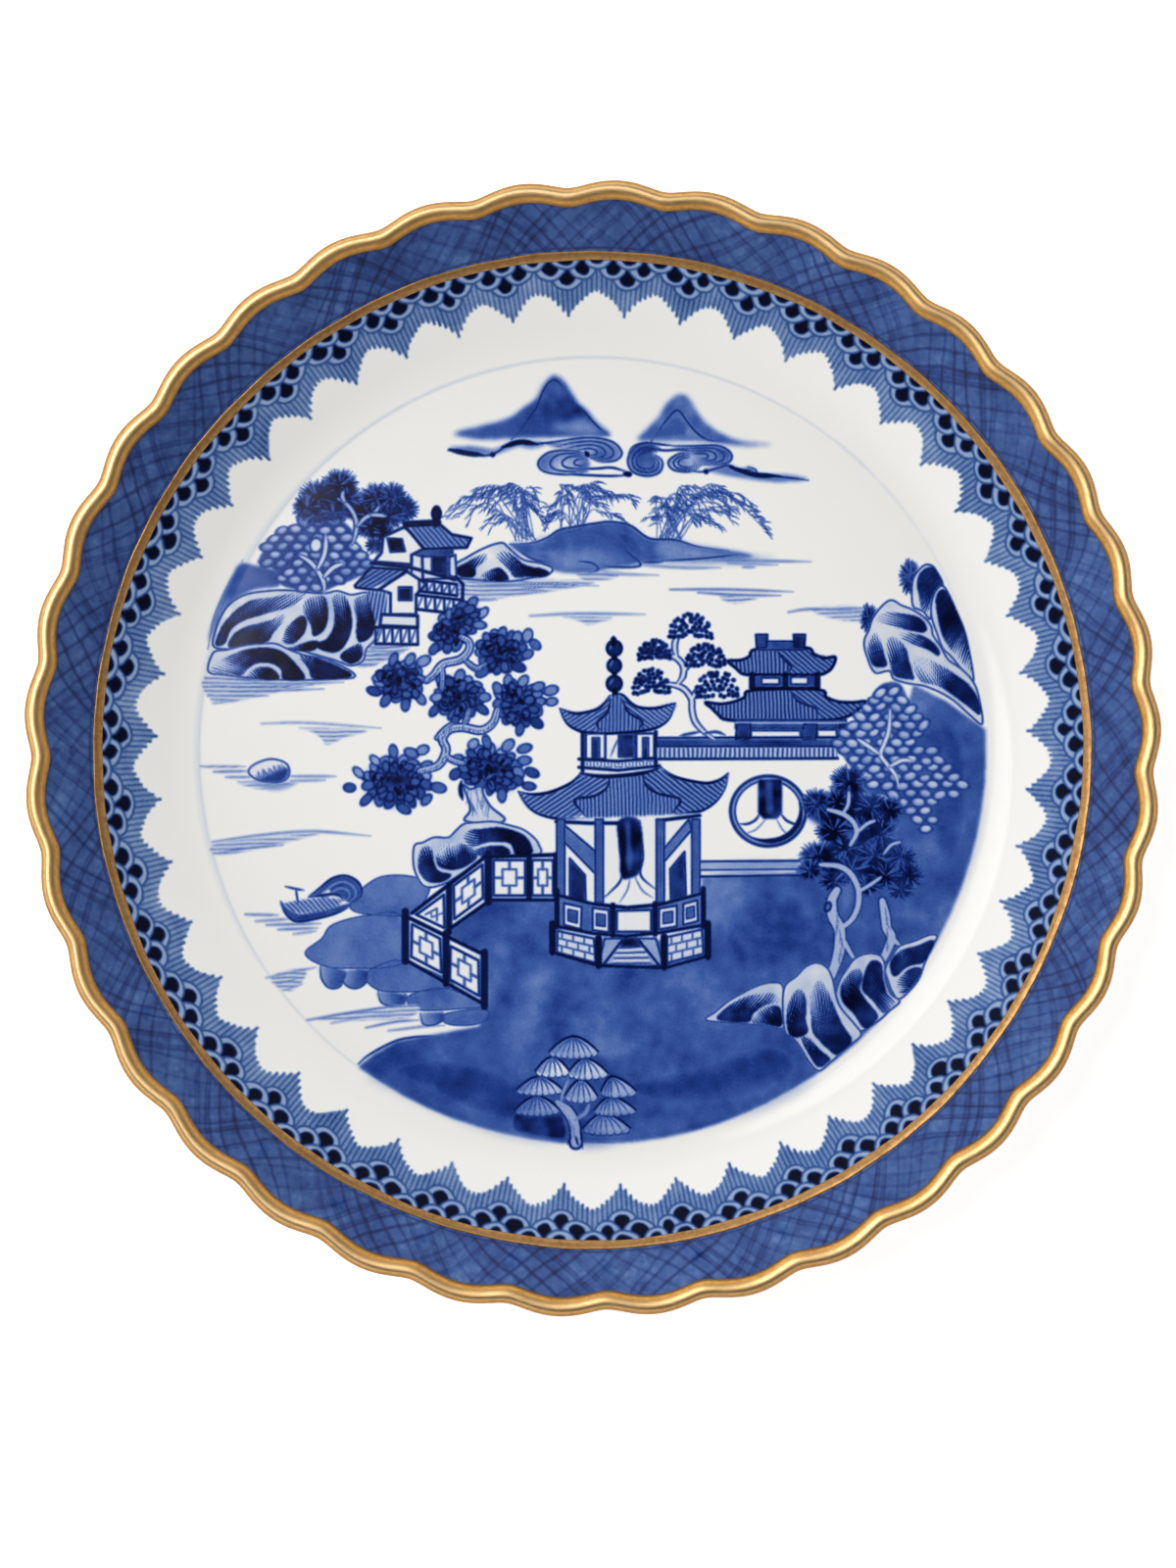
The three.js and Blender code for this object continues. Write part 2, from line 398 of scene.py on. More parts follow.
wash([(17, -18), (28, -18), (30, -26), (24, -31), (17, -30)], 0.68, soft=1.6, mottle=0.07)
wash([(44, 6), (49.5, 3), (50.5, -8), (47.5, -18), (44, -10), (45.5, 0)], 0.68, soft=1.2, mottle=0.06)
wash([(-9, -30), (-5, -28.6), (-7, -36), (-10.4, -43), (-11.6, -38)], 0.46, soft=0.9, cover=True)
wash([(10, -29.4), (15, -28), (17, -34), (15.4, -37), (12, -33)], 0.5, soft=1.0, cover=True)
wash([(-4, -36), (2, -34), (5, -40), (1, -41), (-3, -37.6)], 0.5, soft=1.0, cover=True)
wash([(6, -49), (16, -48.4), (20, -46.6), (14, -49.6), (7, -50.8)], 0.52, soft=0.6, cover=True)
wash([(15, -17.4), (22, -17.2), (21, -20), (15.4, -24)], 0.46, soft=1.2, cover=True)

shore_steps = (
    [(-28.4, -17), (-24, -16.8), (-21.6, -18.2), (-23.8, -21.6), (-28, -21.9), (-31.6, -21.3),
     (-31.8, -19.8)],
    [(-38, -26.9), (-35.8, -25), (-34.4, -23.2), (-30, -22), (-25.4, -22), (-25, -28.1), (-33, -28.9),
     (-36, -28.4)],
    [(-30, -29.8), (-28.4, -28.6), (-25, -28), (-18.6, -30.9), (-21, -31.8), (-27, -32), (-29.3, -31.2)],
    [(-24.5, -33.2), (-23.4, -32.2), (-19.4, -31.6), (-14.6, -33.8), (-18, -34.3), (-23, -34.4)],
    [(-20, -35.4), (-18.6, -34.8), (-14.2, -34.4), (-13.9, -35.6), (-16, -36.4), (-19, -36.3)],
)
for step, depth in zip(shore_steps, (0.5, 0.47, 0.5, 0.53, 0.56)):
    wash(step, depth, soft=0.15, mottle=0.08)
    stroke(step, 0.26, 0.74, closed=True)
boulders = (
    [(-36, -28.6), (-35.9, -30.2), (-34.9, -31.5), (-33.4, -31.3), (-32.6, -29.4)],
    [(-33.2, -29.4), (-32.8, -31), (-31.4, -31.6), (-30, -30.8), (-29.8, -29.2)],
    [(-28.4, -32), (-28, -33.4), (-26.6, -33.9), (-25, -33.6), (-24.6, -32.5)],
    [(-22.8, -34.9), (-22.4, -36.3), (-21, -36.4), (-19.6, -35.6), (-19.8, -34.8)],
)
for boulder in boulders:
    wash(boulder, 0.3, soft=0.15, far=(boulder[0][0] + 3, boulder[0][1], 0.66))
    stroke(boulder, 0.26, 0.8)
    hairs(boulder[3:], 150, 0.7, 0.35, 0.7)
stroke([(-31, -41.6), (-29.6, -40.4), (-26.4, -38.7), (-24, -38.1), (-20, -37.8)], 0.35, 0.75)

ponds = (
    [(-39, 2.9), (-30, 2.7), (-33, 1.6), (-35.2, 0.7), (-36, 1.6), (-37.4, 2.5)],
    [(-4, 17.7), (2.6, 17.6), (1, 17), (-0.6, 16.6), (-2, 17.2)],
    [(17, 20.5), (22, 20.4), (20, 19.6), (18, 19.6)], [(29, 18.8), (36, 19), (36, 17.2), (32, 17.4)],
    [(-47, -4.2), (-40, -4.2), (-42, -5.2), (-44.6, -5.1)],
    [(-50, -12.4), (-42, -11.5), (-36, -11), (-42, -12.6), (-49.6, -14)],
    [(-42.6, -30), (-38, -29), (-39, -31.4), (-41, -31.9)],
    [(-37, -35.6), (-24, -33.7), (-24, -35.4), (-30, -35.8)],
    [(-50.6, 9.8), (-34, 9.4), (-40, 8), (-49, 6.2), (-50.6, 6.6)],
    [(-30, 14), (-24, 14), (-27, 12), (-31, 11)], [(-17, 22.4), (0, 22.4), (-6, 21), (-16, 20)],
    [(-2, 23.8), (4, 23.6), (2, 22.6), (-1, 22.5)],
)
for pond in ponds:
    hatch(pond, luck.uniform(-2, 3), 0.56, 0.2, 0.46, 0.13)
streaks = (
    [(-8.3, 17.8), (-2, 18.1), (7, 18)], [(10.3, 21.3), (18, 21.3), (26.6, 21)],
    [(14, 20.9), (19, 20.6), (25, 20.5)], [(26, 18.3), (29, 18.7), (36, 18.5)],
    [(-43.9, 3.5), (-38, 3.6), (-28, 2.9)], [(-52, -2.2), (-46, -2.2)], [(-50.2, -2.9), (-45.6, -2.8)],
    [(-48.6, -3.6), (-45, -3.6)], [(-40, -3.5), (-34, -3.5)], [(-40, -4.1), (-35.4, -4)],
    [(-50.4, -12.2), (-44, -11.3), (-37, -10.8), (-29.4, -11.4)],
    [(-49.4, -13.6), (-45.6, -13), (-41, -12.6)], [(-46, -21.8), (-41.6, -21.9)],
    [(-44.6, -22.7), (-40, -22.4)], [(-43.2, -23.2), (-36, -23)], [(-41.6, -23.8), (-36.4, -23.6)],
    [(-39.6, -24.4), (-36.6, -24)], [(-43.2, -30.2), (-40, -29.5), (-36.6, -28.8)],
    [(-41.8, -31), (-39, -30.3)], [(-40.8, -31.8), (-38.4, -31)],
    [(-37.8, -35.8), (-32, -34.8), (-24, -33.6)], [(-34.6, -36.2), (-29, -35.2), (-24, -35)],
    [(-30, -36.8), (-26, -36), (-23, -35.8)], [(-27, -37.2), (-22, -36.6), (-19.6, -36.5)],
    [(-51.4, 9.6), (-46, 9.3), (-40, 9.3)], [(-50.6, 8.6), (-46, 8.4), (-37, 8.6)],
    [(-51.4, 7.9), (-46, 7.8), (-35.6, 8.1)], [(-51, 7.2), (-43, 7.2)], [(-50, 6.4), (-47, 6.5)],
    [(-46, 8.9), (-40, 8.8), (-33, 9)], [(-29.4, 13.4), (-24, 13.8)], [(-30, 12.6), (-25, 13)],
    [(-31, 11.9), (-27, 12.2)], [(-31, 11.2), (-28.6, 11.3)], [(-17, 21.8), (-8, 22), (0.8, 21.8)],
    [(-17, 21.2), (-10, 21.3), (-4, 21.9)], [(-16.6, 20.6), (-11, 20.7), (-6, 21)],
    [(-16, 19.9), (-12.6, 20)], [(-4, 23.6), (2, 23.4), (8.8, 23.2)], [(6, 24.6), (12, 24.2), (17, 24.2)],
    [(20, 24.3), (21.6, 24.3)], [(16, 25.2), (23, 25.1), (29, 25)], [(18, 24.8), (24.6, 24.6)],
)
for points in streaks:
    stroke(points, 0.42, luck.uniform(0.22, 0.4), soft=0.3, taper=(0.7, 0.3))
    stroke(points, 0.16, luck.uniform(0.36, 0.66), soft=0.2, taper=(0.5, 0.3))
hull = [(-41.3, -20.1), (-40.7, -21.6), (-39.3, -22.7), (-36.8, -22.4), (-33.6, -21.5), (-31.6, -20.3),
        (-33.4, -20.6), (-36, -21.2), (-39, -21.7)]
canopy = [(-37.6, -19.5), (-36, -18.2), (-34.4, -17), (-32.6, -16.7), (-31, -17.6), (-30.6, -19.2),
          (-31.8, -20.4)]
wash(hull, 0.68, soft=0.12)
hatch([(-40.9, -20.4), (-36, -19.6), (-33.2, -20), (-35, -21.2), (-39, -21.6)], -48, 0.5, 0.2, 0.75, 0.25)
wash(canopy + [(-34, -19.4)], 0.62, soft=0.12)
oval(-35.3, -18.9, 25, 2.2, 1.1, 0.02, 0.7)
for share in (0.72, 0.44):
    stroke(pulled(canopy, (-33.4, -19.6), share), 0.24, 0.4, cover=True)
strokes((hull[:6], canopy, [(-37.6, -19.5), (-34, -19.1), (-33, -20)]), 0.35, 0.86)
strokes(([(-40.7, -18.1), (-39.4, -18.4), (-38.2, -18.6)], [(-39.3, -18.4), (-39, -20.4)]), 0.28, 0.8)

stone = [(-45.6, -3), (-44.8, -1.9), (-42.6, -1.2), (-40.6, -1.8), (-40.2, -3.2), (-41.2, -4.2),
         (-44, -4.1)]
wash(stone, 0.06, soft=0.1, cover=True)
stroke(stone, 0.26, 0.72, closed=True)
wash([(-44.6, -4), (-43, -3.2), (-41.6, -2.6), (-40.3, -2.4), (-40.4, -3.4), (-41.4, -4.3),
      (-43.6, -4.3)], 0.8, soft=0.25)
hairs([(-44.4, -3.8), (-43, -3.2), (-41.4, -2.8), (-40.6, -2.6)], 118, 0.9, 0.24, 0.72)
wash([(-46, -4.2), (-43, -4.4), (-39, -4.2), (-42, -5.4)], 0.36, soft=0.3)

# Painted shade along the crease round the well, only on its upper and left side where the wall faces away
# from the lamp, with a little blue where the glaze gathered
for start, end, shade in ((54, 244, 0.085), (44, 54, 0.065), (34, 44, 0.045), (22, 34, 0.03),
                          (244, 254, 0.05)):
    stroke(rim_arc(start, end), 0.42, shade, soft=0.3)
stroke(rim_arc(130, 212, 52.4), 0.9, 0.05, soft=0.6)

# Mountains and clouds
# Two far peaks are flooded in one wet pass, darker at the ridge, and stand on a ribbon of scroll
# clouds drawn as nested curls with a fine brush.
left_peak = [(-18.4, 42), (-15.5, 42.9), (-12.6, 43.6), (-10.6, 44.4), (-9, 45.6), (-7.6, 46.6),
             (-6.6, 48.4), (-5.4, 49.7), (-4.2, 49.4), (-3, 47.9), (-2, 46.2), (-0.6, 45), (0.6, 43.4),
             (2.4, 41.8), (-1, 41.7), (-5, 41.6), (-10, 41.4), (-15, 41.3)]
wash(left_peak, 0.56, soft=0.35, far=(-3, 42.6, 0.68))
wash([(-7.4, 46), (-6.2, 48.4), (-5, 49), (-3.6, 47.4), (-3, 45), (-5, 43.6), (-8, 43.4)], 0.7, soft=0.7)
wash([(-5.6, 42.6), (-3.4, 43.8), (-0.6, 43.8), (1.4, 42.3), (-2, 41.9)], 0.36, soft=0.5, cover=True)
wash([(-16, 42), (-12, 42.9), (-9.6, 43.4), (-9.6, 42), (-13, 41.6)], 0.7, soft=0.5)
right_peak = [(6, 41.2), (7.4, 42.8), (8.8, 44.3), (10, 46.2), (11.6, 47.3), (12.9, 46.7), (13.9, 45),
              (15.2, 43.4), (17.4, 41.9), (20, 41), (24, 40.6), (20, 40.4), (14, 41), (9, 41.1)]
wash(right_peak, 0.5, soft=0.36)
wash([(7.4, 41.3), (9.4, 43.6), (11.2, 45.1), (12.6, 43.6), (14.6, 41.6), (11, 41.2)], 0.6, soft=0.5)
wash([(12.4, 41.6), (12.8, 43), (14.4, 41.7)], 0.4, soft=0.3, cover=True)
ridges = (
    [(-10.8, 41.2), (-9.2, 42.9), (-8.3, 44.3), (-7.4, 45.6), (-6.6, 47.6), (-5.6, 49), (-4.6, 49),
     (-3.6, 47.6), (-2.6, 46.2)],
    [(-2.6, 46.3), (-1.2, 45.1), (-0.1, 43.8), (1, 42.7), (2.2, 41.8)],
    [(7.8, 41), (8.8, 42.4), (9.8, 43.8), (10.9, 45), (11.6, 45), (12.6, 43.6), (13.8, 42.2),
     (15.4, 41.2), (18, 40.9)],
)
strokes(ridges, 0.36, 0.85, soft=0.3)


# A scroll of cloud: the same loop drawn again and again, each time nearer to its eye
def scroll(loop, eye, times, fill=0.4):
    wash(loop, fill, soft=0.2, mottle=0.3)
    for k in range(times):
        stroke(pulled(loop, eye, 1 - 0.24 * k), 0.3, 0.8)


wash([(-19, 40.2), (-16, 40.4), (-13, 40.1), (-10.6, 41.2), (-8, 41.2), (-6, 40.7), (-8, 40), (-10, 40.2),
      (-13, 39.2), (-16, 39.4)], 0.4, soft=0.25)
wash([(15, 37.3), (18, 37.9), (19.6, 37.4), (21, 37.7), (22, 36.8), (26, 36.6), (28.7, 35.9), (24, 35.6),
      (18, 36.4)], 0.42, soft=0.25)
scroll([(-0.8, 39.4), (-3.3, 39.8), (-5.8, 39.5), (-7.2, 38.2), (-6.4, 37), (-3.4, 36.6), (-0.6, 37)],
       (-0.6, 38.2), 4)
scroll([(-6, 40.6), (-3.3, 41.2), (0, 41.5), (2.7, 40.9), (3.9, 39.5), (3.1, 38.5), (1.1, 38.3),
        (-0.6, 38.9)], (-0.6, 39.5), 4)
scroll([(9, 40), (7.2, 40.7), (5.6, 40.1), (4.7, 38.6), (5.3, 37), (7.2, 36.4), (8.9, 36.9), (9.3, 38.3),
        (8.2, 39.2), (6.9, 39)], (7.1, 38.3), 3, 0.5)
scroll([(13, 39.4), (11.4, 39.3), (10.1, 38.3), (10.8, 37.2), (13.2, 37), (14.4, 37.8)],
       (12.8, 38.2), 3, 0.46)
scroll([(10.6, 40.4), (13.6, 40.4), (16.8, 40.4), (18.4, 39.4), (18.2, 38.3), (16.4, 37.9), (14, 37.9)],
       (14.2, 39), 4)
curls = (
    [(-19.2, 39.8), (-16.4, 39.4), (-14.4, 39.1), (-12.6, 39.6), (-11.4, 40.5), (-9.6, 40.9),
     (-7.6, 40.7), (-5.4, 40.9), (-2, 41.5)],
    [(-3.4, 36.6), (-0.6, 36.5), (2.4, 36.4), (5, 36.5)],
    [(-1.6, 37.3), (0.8, 37.4), (2.6, 37.5), (4.8, 36.9)],
    [(4.8, 39.4), (5.4, 40.3), (7, 40.8), (9, 40.6), (11, 40.4)],
    [(7.2, 40.1), (9.6, 39.8), (11.4, 39.9), (13.4, 39.7)],
    [(13.2, 37), (15, 37), (18, 37.8), (19.4, 37.2), (21, 37.2), (22, 36.6)],
    [(20.6, 37.6), (21.6, 37.3), (22.2, 36.5), (24.6, 36.3), (26.6, 36.1), (28.7, 35.8)],
)
strokes(curls, 0.32, 0.82)
strokes(([(-12, 40.2), (-9.6, 40.9), (-7.2, 40.6)], [(-0.9, 39.6), (-0.5, 39)],
         [(4.2, 36.7), (5.2, 36.6)]), 0.75, 0.9)
strokes(([(18.2, 37.6), (20, 37), (22, 36.5), (25, 36.4)], [(-13.6, 39.2), (-12.9, 39.3)],
         [(14.8, 37), (15.4, 37)], [(-19, 39.9), (-16.4, 39.4), (-14.4, 39.2)]), 0.75, 0.86)

# Islet with bamboo
# A wet blue hill with one darker outline; the bamboo is hundreds of quick drooping flicks.
islet = [(-11, 27.3), (-8, 27.5), (-6, 28.2), (-4.4, 29.2), (-2, 29.7), (0.5, 30.1), (2.5, 30.3),
         (5, 29.8), (6.8, 28.5), (8, 28), (11, 27.9), (14, 27), (18, 26.5), (21.4, 25.7), (17, 25.4),
         (11, 25.3), (7, 24.9), (3, 24.3), (0.6, 23.7), (-2, 23.5), (-5, 23.8), (-8, 25.2)]
wash(islet, 0.58, soft=0.2)
wash([(9, 28), (14, 27), (21.4, 25.7), (24, 25.2), (16, 24.8), (9, 25.2)], 0.36, soft=0.5, cover=True)
wash([(-6, 25.4), (-1.6, 26.6), (4, 26.4), (5.6, 24.8), (1, 24.4), (-3, 24)], 0.48, soft=0.6, cover=True)
wash([(-9, 26.8), (-5, 28.2), (-3.6, 27), (-5.6, 25.6)], 0.68, soft=0.5)
wash([(2, 29.6), (6, 28.6), (7, 26.6), (9.4, 25), (6.4, 25), (4, 27)], 0.66, soft=0.5)
stroke(islet[:13], 0.34, 0.8)
hill_lines = (
    [(-10, 26.6), (-8, 25.4), (-5.8, 24.8)],
    [(3.6, 27), (5, 26), (6.4, 24.7), (5.4, 24.3), (2, 24.3), (0.8, 24.2)],
    [(-2, 25.1), (0, 24.8), (0.8, 24), (-0.6, 23.5)], [(9, 25.1), (14, 25.4), (20, 26)],
    [(6.6, 24.9), (9.4, 25)],
)
strokes(hill_lines, 0.34, 0.76)
bamboo = (
    ((-9.2, 28.4), (
        [(-10.6, 32), (-13, 34), (-16, 34.2), (-18.6, 32.4)],
        [(-10.2, 33), (-12, 35), (-14.6, 35.4), (-16.6, 34.6)],
        [(-9.8, 33.4), (-10.6, 35.2), (-12.4, 35.3), (-14, 34.2)],
        [(-9.4, 33), (-9.2, 34.6), (-8.4, 34.6), (-7.6, 33.4)],
        [(-10.8, 31.4), (-13.4, 32.8), (-16, 32.4), (-17.2, 31)],
        [(-9.2, 32), (-8.6, 33), (-7.8, 32.4), (-7.2, 31)], [(-10.4, 30.8), (-12.6, 31.4), (-14.4, 30)],
        [(-9.4, 33.6), (-9.6, 35), (-10.6, 35.6)],
    )),
    ((-2.8, 29.6), (
        [(-3.4, 33), (-3.8, 34.4), (-4.8, 34), (-5.6, 32.4)],
        [(-2.4, 33.6), (-1.4, 35), (0.6, 35.2), (2.2, 34.2)],
        [(-1.8, 33), (0.2, 34.6), (2.4, 34.6), (4, 34.2), (5.4, 33.4)],
        [(-3, 33.4), (-3.2, 35), (-2, 35.5), (-0.6, 35.2)],
        [(-1.8, 31.8), (0.2, 32.8), (2.2, 32.2), (3.4, 30.8)], [(-3.6, 31.6), (-5, 32), (-5.9, 30.8)],
        [(-2.4, 32.6), (-1, 33.8), (1.4, 33.4)],
    )),
    ((10.2, 28.2), (
        [(10.6, 31.6), (12, 34), (14, 35.2), (16, 35), (18.2, 33.8)],
        [(11.4, 31.6), (14, 33.8), (17, 34.6), (20, 33.4), (22.8, 30.2)],
        [(10, 32), (9.8, 33.6), (9, 33.6), (8.2, 32.4)],
        [(11, 31), (13.2, 32.6), (15.8, 32.8), (18.2, 31.2)], [(10.4, 32.6), (11.4, 34.6), (13, 35.2)],
        [(11.6, 30.6), (14, 31.4), (16.2, 30.2)], [(9.6, 31), (8.6, 31.8), (7.4, 30.8)],
        [(11, 32), (13, 34.2), (16, 34.2), (18.6, 32.8)],
        [(9.4, 31.6), (9.6, 33.2), (10.8, 34.2), (12, 34.4)],
        [(9.2, 30.6), (9.6, 32), (11, 32.8), (12.6, 32.4)],
    )),
)
for (base_x, base_y), stems in bamboo:
    for stem in stems + stems + stems[1::2]:
        slide = luck.uniform(-1.7, 1.7)
        foot = (base_x + slide, base_y - luck.uniform(0, 0.8))
        first = (0.5 * (stem[0][0] + stem[1][0]) + 0.4 * slide, stem[0][1])
        knots = [foot, first]
        for x, y in stem[1:]:
            knots.append((x + luck.normal() * 0.45, y - 0.4 + luck.normal() * 0.45))
        line = bend(knots, step=0.6)
        stroke(line[::3], 0.12, luck.uniform(0.6, 0.86), taper=(0.9, 0.4), soft=0.16)
        way = np.sign(stem[-1][0] - base_x)
        for x, y in line[int(len(line) * 0.45) :]:
            turn = math.radians(luck.normal(-34, 20))
            size = luck.uniform(0.7, 1.5)
            middle = (x + way * 0.5 * size * math.cos(turn), y + 0.5 * size * math.sin(turn) + 0.06 * size)
            tip = (x + way * size * math.cos(turn), y + size * math.sin(turn) - 0.1 * size)
            stroke([(x, y), middle, tip], 0.12, luck.uniform(0.74, 0.98), taper=(0.7, 0.3), soft=0.15)

crag = [(-18.3, 24.5), (-16.6, 25.6), (-14.8, 26.6), (-13.1, 27.3), (-11.9, 27.5), (-11.4, 27.1),
        (-10.3, 26.1), (-9, 25.2), (-6.9, 24.8), (-5.5, 24.3), (-5.3, 23.8), (-6.2, 23.1), (-7.9, 22.9),
        (-11, 22.4), (-15.5, 22.6), (-18.1, 23)]
rock(crag, (
    ([(-18.1, 24), (-16.6, 24.9), (-15.2, 25.7), (-14.1, 26.1), (-14.3, 25.2), (-15.5, 24.3),
      (-15.7, 23.1), (-17.4, 23)], (-17.2, 23.2), (-14.2, 26.4)),
    ([(-12.4, 26.1), (-11.7, 26.4), (-10.3, 25.6), (-9.3, 24.7), (-7.9, 24.2), (-6.9, 24.1), (-5.7, 23.5),
      (-6.6, 23.1), (-7.9, 23.1), (-10.3, 23), (-10.9, 23.8), (-11.7, 24.5), (-12.6, 25.6)],
     (-8.6, 23), (-12.4, 26.4)),
    ([(-15, 22.8), (-14.3, 23.5), (-13.1, 24), (-12.2, 24.1), (-11.4, 23.3), (-11.2, 22.6),
      (-12.8, 22.5)], (-12, 22.8), (-14.6, 23.8)),
), pale=0.12, edge=0.26)


# Left shore
# Heaped rocks with bare veins left between deep hair strokes, a house among a pine and a tree drawn
# as heaped pebbles. Straight lines here and on the other buildings are ruled with a fine brush.
def ruled(points, width, depth, closed=False, cover=False):
    ends = list(points) + list(points[:1]) if closed else points
    for pair in zip(ends, ends[1:]):
        stroke(pair, width, depth, cover=cover, taper=(1, 1))


def panel(points, fill, line=0.82, width=0.32):
    wash(points, fill, soft=0.1, cover=True, bent=False, mottle=0.08)
    ruled(points, width, line, closed=True)


def box(left, low, right, high):
    return [(left, low), (right, low), (right, high), (left, high)]


# A bare limb: a dark line first, then the pale wood inside it
def bare_limb(points, dark_width, dark, pale_width, pale, **manner):
    stroke(points, dark_width, dark, **manner)
    stroke(points, pale_width, pale, cover=True, **manner)


wash([(-41.6, 23.6), (-41.6, 21.8), (-45.2, 21.2), (-48, 19), (-50.4, 14.8), (-51, 15), (-49.8, 18.8),
      (-48, 22.6), (-46.8, 24.7), (-44.7, 24.5)], 0.7, soft=0.2, far=(-50.6, 15, 0.4))
stroke([(-51, 13.4), (-50.2, 17.6), (-48.2, 22.2), (-46.4, 25.2)], 0.3, 0.5)
far_rocks = [(-50.2, 13.7), (-50.1, 15.5), (-49.4, 17.5), (-48.2, 19.3), (-46.1, 20.6), (-43.2, 21.1),
             (-40.2, 21.2), (-37.6, 20.9), (-35.5, 20.8), (-33.8, 21.1), (-32, 20.6), (-30.2, 20.9),
             (-28.8, 20.4), (-28.2, 18.7), (-28.3, 16.4), (-28.9, 14.6), (-30, 13.4), (-30.4, 11.9),
             (-32, 11.2), (-34.4, 12), (-37.3, 12.8), (-39.6, 13.4), (-43.2, 13.6), (-47.6, 13.4)]
rock(far_rocks, (
    ([(-50, 14), (-49.2, 16.2), (-48, 17.8), (-46.5, 19.1), (-44.9, 19.9), (-42.6, 20.2), (-40, 20.7),
      (-38, 20.9), (-38.8, 20), (-40.4, 19), (-42.2, 18.5), (-44.2, 17.9), (-46.4, 17.2), (-48, 16),
      (-48.8, 14.2)], (-47.6, 15.6), (-39.2, 21.2)),
    ([(-48.2, 13.7), (-47.6, 15.2), (-46.2, 16.2), (-44.4, 16.7), (-42.6, 17.2), (-40.8, 18),
      (-41.4, 16.8), (-42.4, 15.6), (-43.2, 14.4), (-45.6, 13.8)], (-45.6, 14), (-41.2, 18.2)),
    ([(-41, 14.4), (-40.6, 16), (-39.6, 17.1), (-38.5, 17.8), (-38, 17.2), (-38.1, 16), (-38.7, 15),
      (-39.8, 14.2)], (-38.5, 15.4), (-41.2, 16.8)),
    ([(-38.2, 18.2), (-38.2, 19.6), (-37, 20.3), (-35.6, 20.3), (-35.2, 19), (-35.2, 17.2), (-35.8, 15.8),
      (-37, 15.2), (-37.3, 16.6)], (-36.2, 16), (-37.2, 20.8)),
    ([(-34.4, 20.2), (-33.2, 20.6), (-32.4, 19.4), (-32, 17.6), (-32.1, 15.6), (-33, 13.8), (-34.2, 13),
      (-35.8, 13.3), (-36.8, 14), (-35.4, 14.6), (-34.5, 15.8), (-34.1, 17.6)], (-33.2, 15), (-34, 21)),
    ([(-31.6, 19.6), (-30.8, 20.4), (-29.6, 20.5), (-29, 18.8), (-28.9, 16.6), (-29.5, 15), (-30.9, 14.4),
      (-31.3, 15.6), (-31.2, 17.4)], (-30, 15.6), (-31, 21)),
    ([(-33.4, 12.4), (-32.2, 13.5), (-30.8, 14), (-30.5, 12.8), (-31, 11.9), (-32.2, 11.5)],
     (-31.6, 12), (-30, 14.6)),
    ([(-40.6, 13.4), (-39.2, 13.8), (-37.4, 14.4), (-36.4, 14.4), (-36.8, 13.4), (-38.4, 13.1)],
     (-37.6, 13.4), (-39.4, 15.4)),
), pale=0.14)
near_rocks = [(-50.7, 10.2), (-51, 11.1), (-50.2, 13), (-48.5, 13.3), (-46.1, 13.9), (-43.8, 14.1),
              (-42, 14.1), (-40.2, 13.3), (-37.9, 12.5), (-35.5, 12.1), (-33.2, 11.1), (-31.7, 10.2),
              (-31.7, 9.6), (-34.4, 9.4), (-37.3, 9.3), (-40.8, 9.3), (-45.8, 9.6), (-49.1, 10)]
rock(near_rocks, (
    ([(-50.6, 10.6), (-49, 12), (-46.8, 13), (-44.4, 13.5), (-42.2, 13.4), (-40.7, 12.7), (-39.4, 11.4),
      (-38.2, 9.5), (-40.9, 9.4), (-41.2, 10.6), (-42.4, 11.5), (-44.4, 11.6), (-45.8, 10.8), (-46.6, 10),
      (-48.6, 10.2)], (-42.6, 10.8), (-50, 13.4)),
    ([(-45.7, 9.8), (-45, 10.6), (-43.6, 11), (-42.3, 10.6), (-41.6, 9.5), (-43.4, 9.4)],
     (-43, 9.7), (-44.8, 11.8)),
    ([(-38.8, 12.5), (-37, 12.2), (-35.2, 11.7), (-33.4, 10.9), (-31.9, 9.9), (-34, 9.5), (-37, 9.5),
      (-37.6, 10.8)], (-35.4, 9.6), (-39.6, 13.2)),
), pale=0.14)

pebble_tree = [(-38, 30.5), (-34.4, 30.8), (-32.2, 29.6), (-31.4, 27.8), (-30, 26), (-29.6, 24.6),
               (-31, 23), (-34, 21.8), (-36, 21), (-38.6, 21.2), (-41.4, 22), (-42.4, 24), (-44.4, 24.8),
               (-43.6, 26.6), (-43.2, 28), (-41, 29.3)]
pebbles(pebble_tree, long=2.05, wide=1.28, ground=0.66, pale=0.2)
tree_limbs = (
    [(-38.8, 25.8), (-37.4, 24.9), (-36.2, 23.4), (-35.6, 22), (-35.6, 20.8)],
    [(-36.5, 24), (-35.7, 25.6), (-35.4, 27), (-35.4, 28.6)], [(-35.6, 23), (-34.4, 24.2), (-33, 24.8)],
)
for limb in tree_limbs:
    bare_limb(limb, 1.05, 0.82, 0.5, 0.14)
oval(-36.7, 27.2, 80, 2.2, 1.8, 0.08, 0.74)

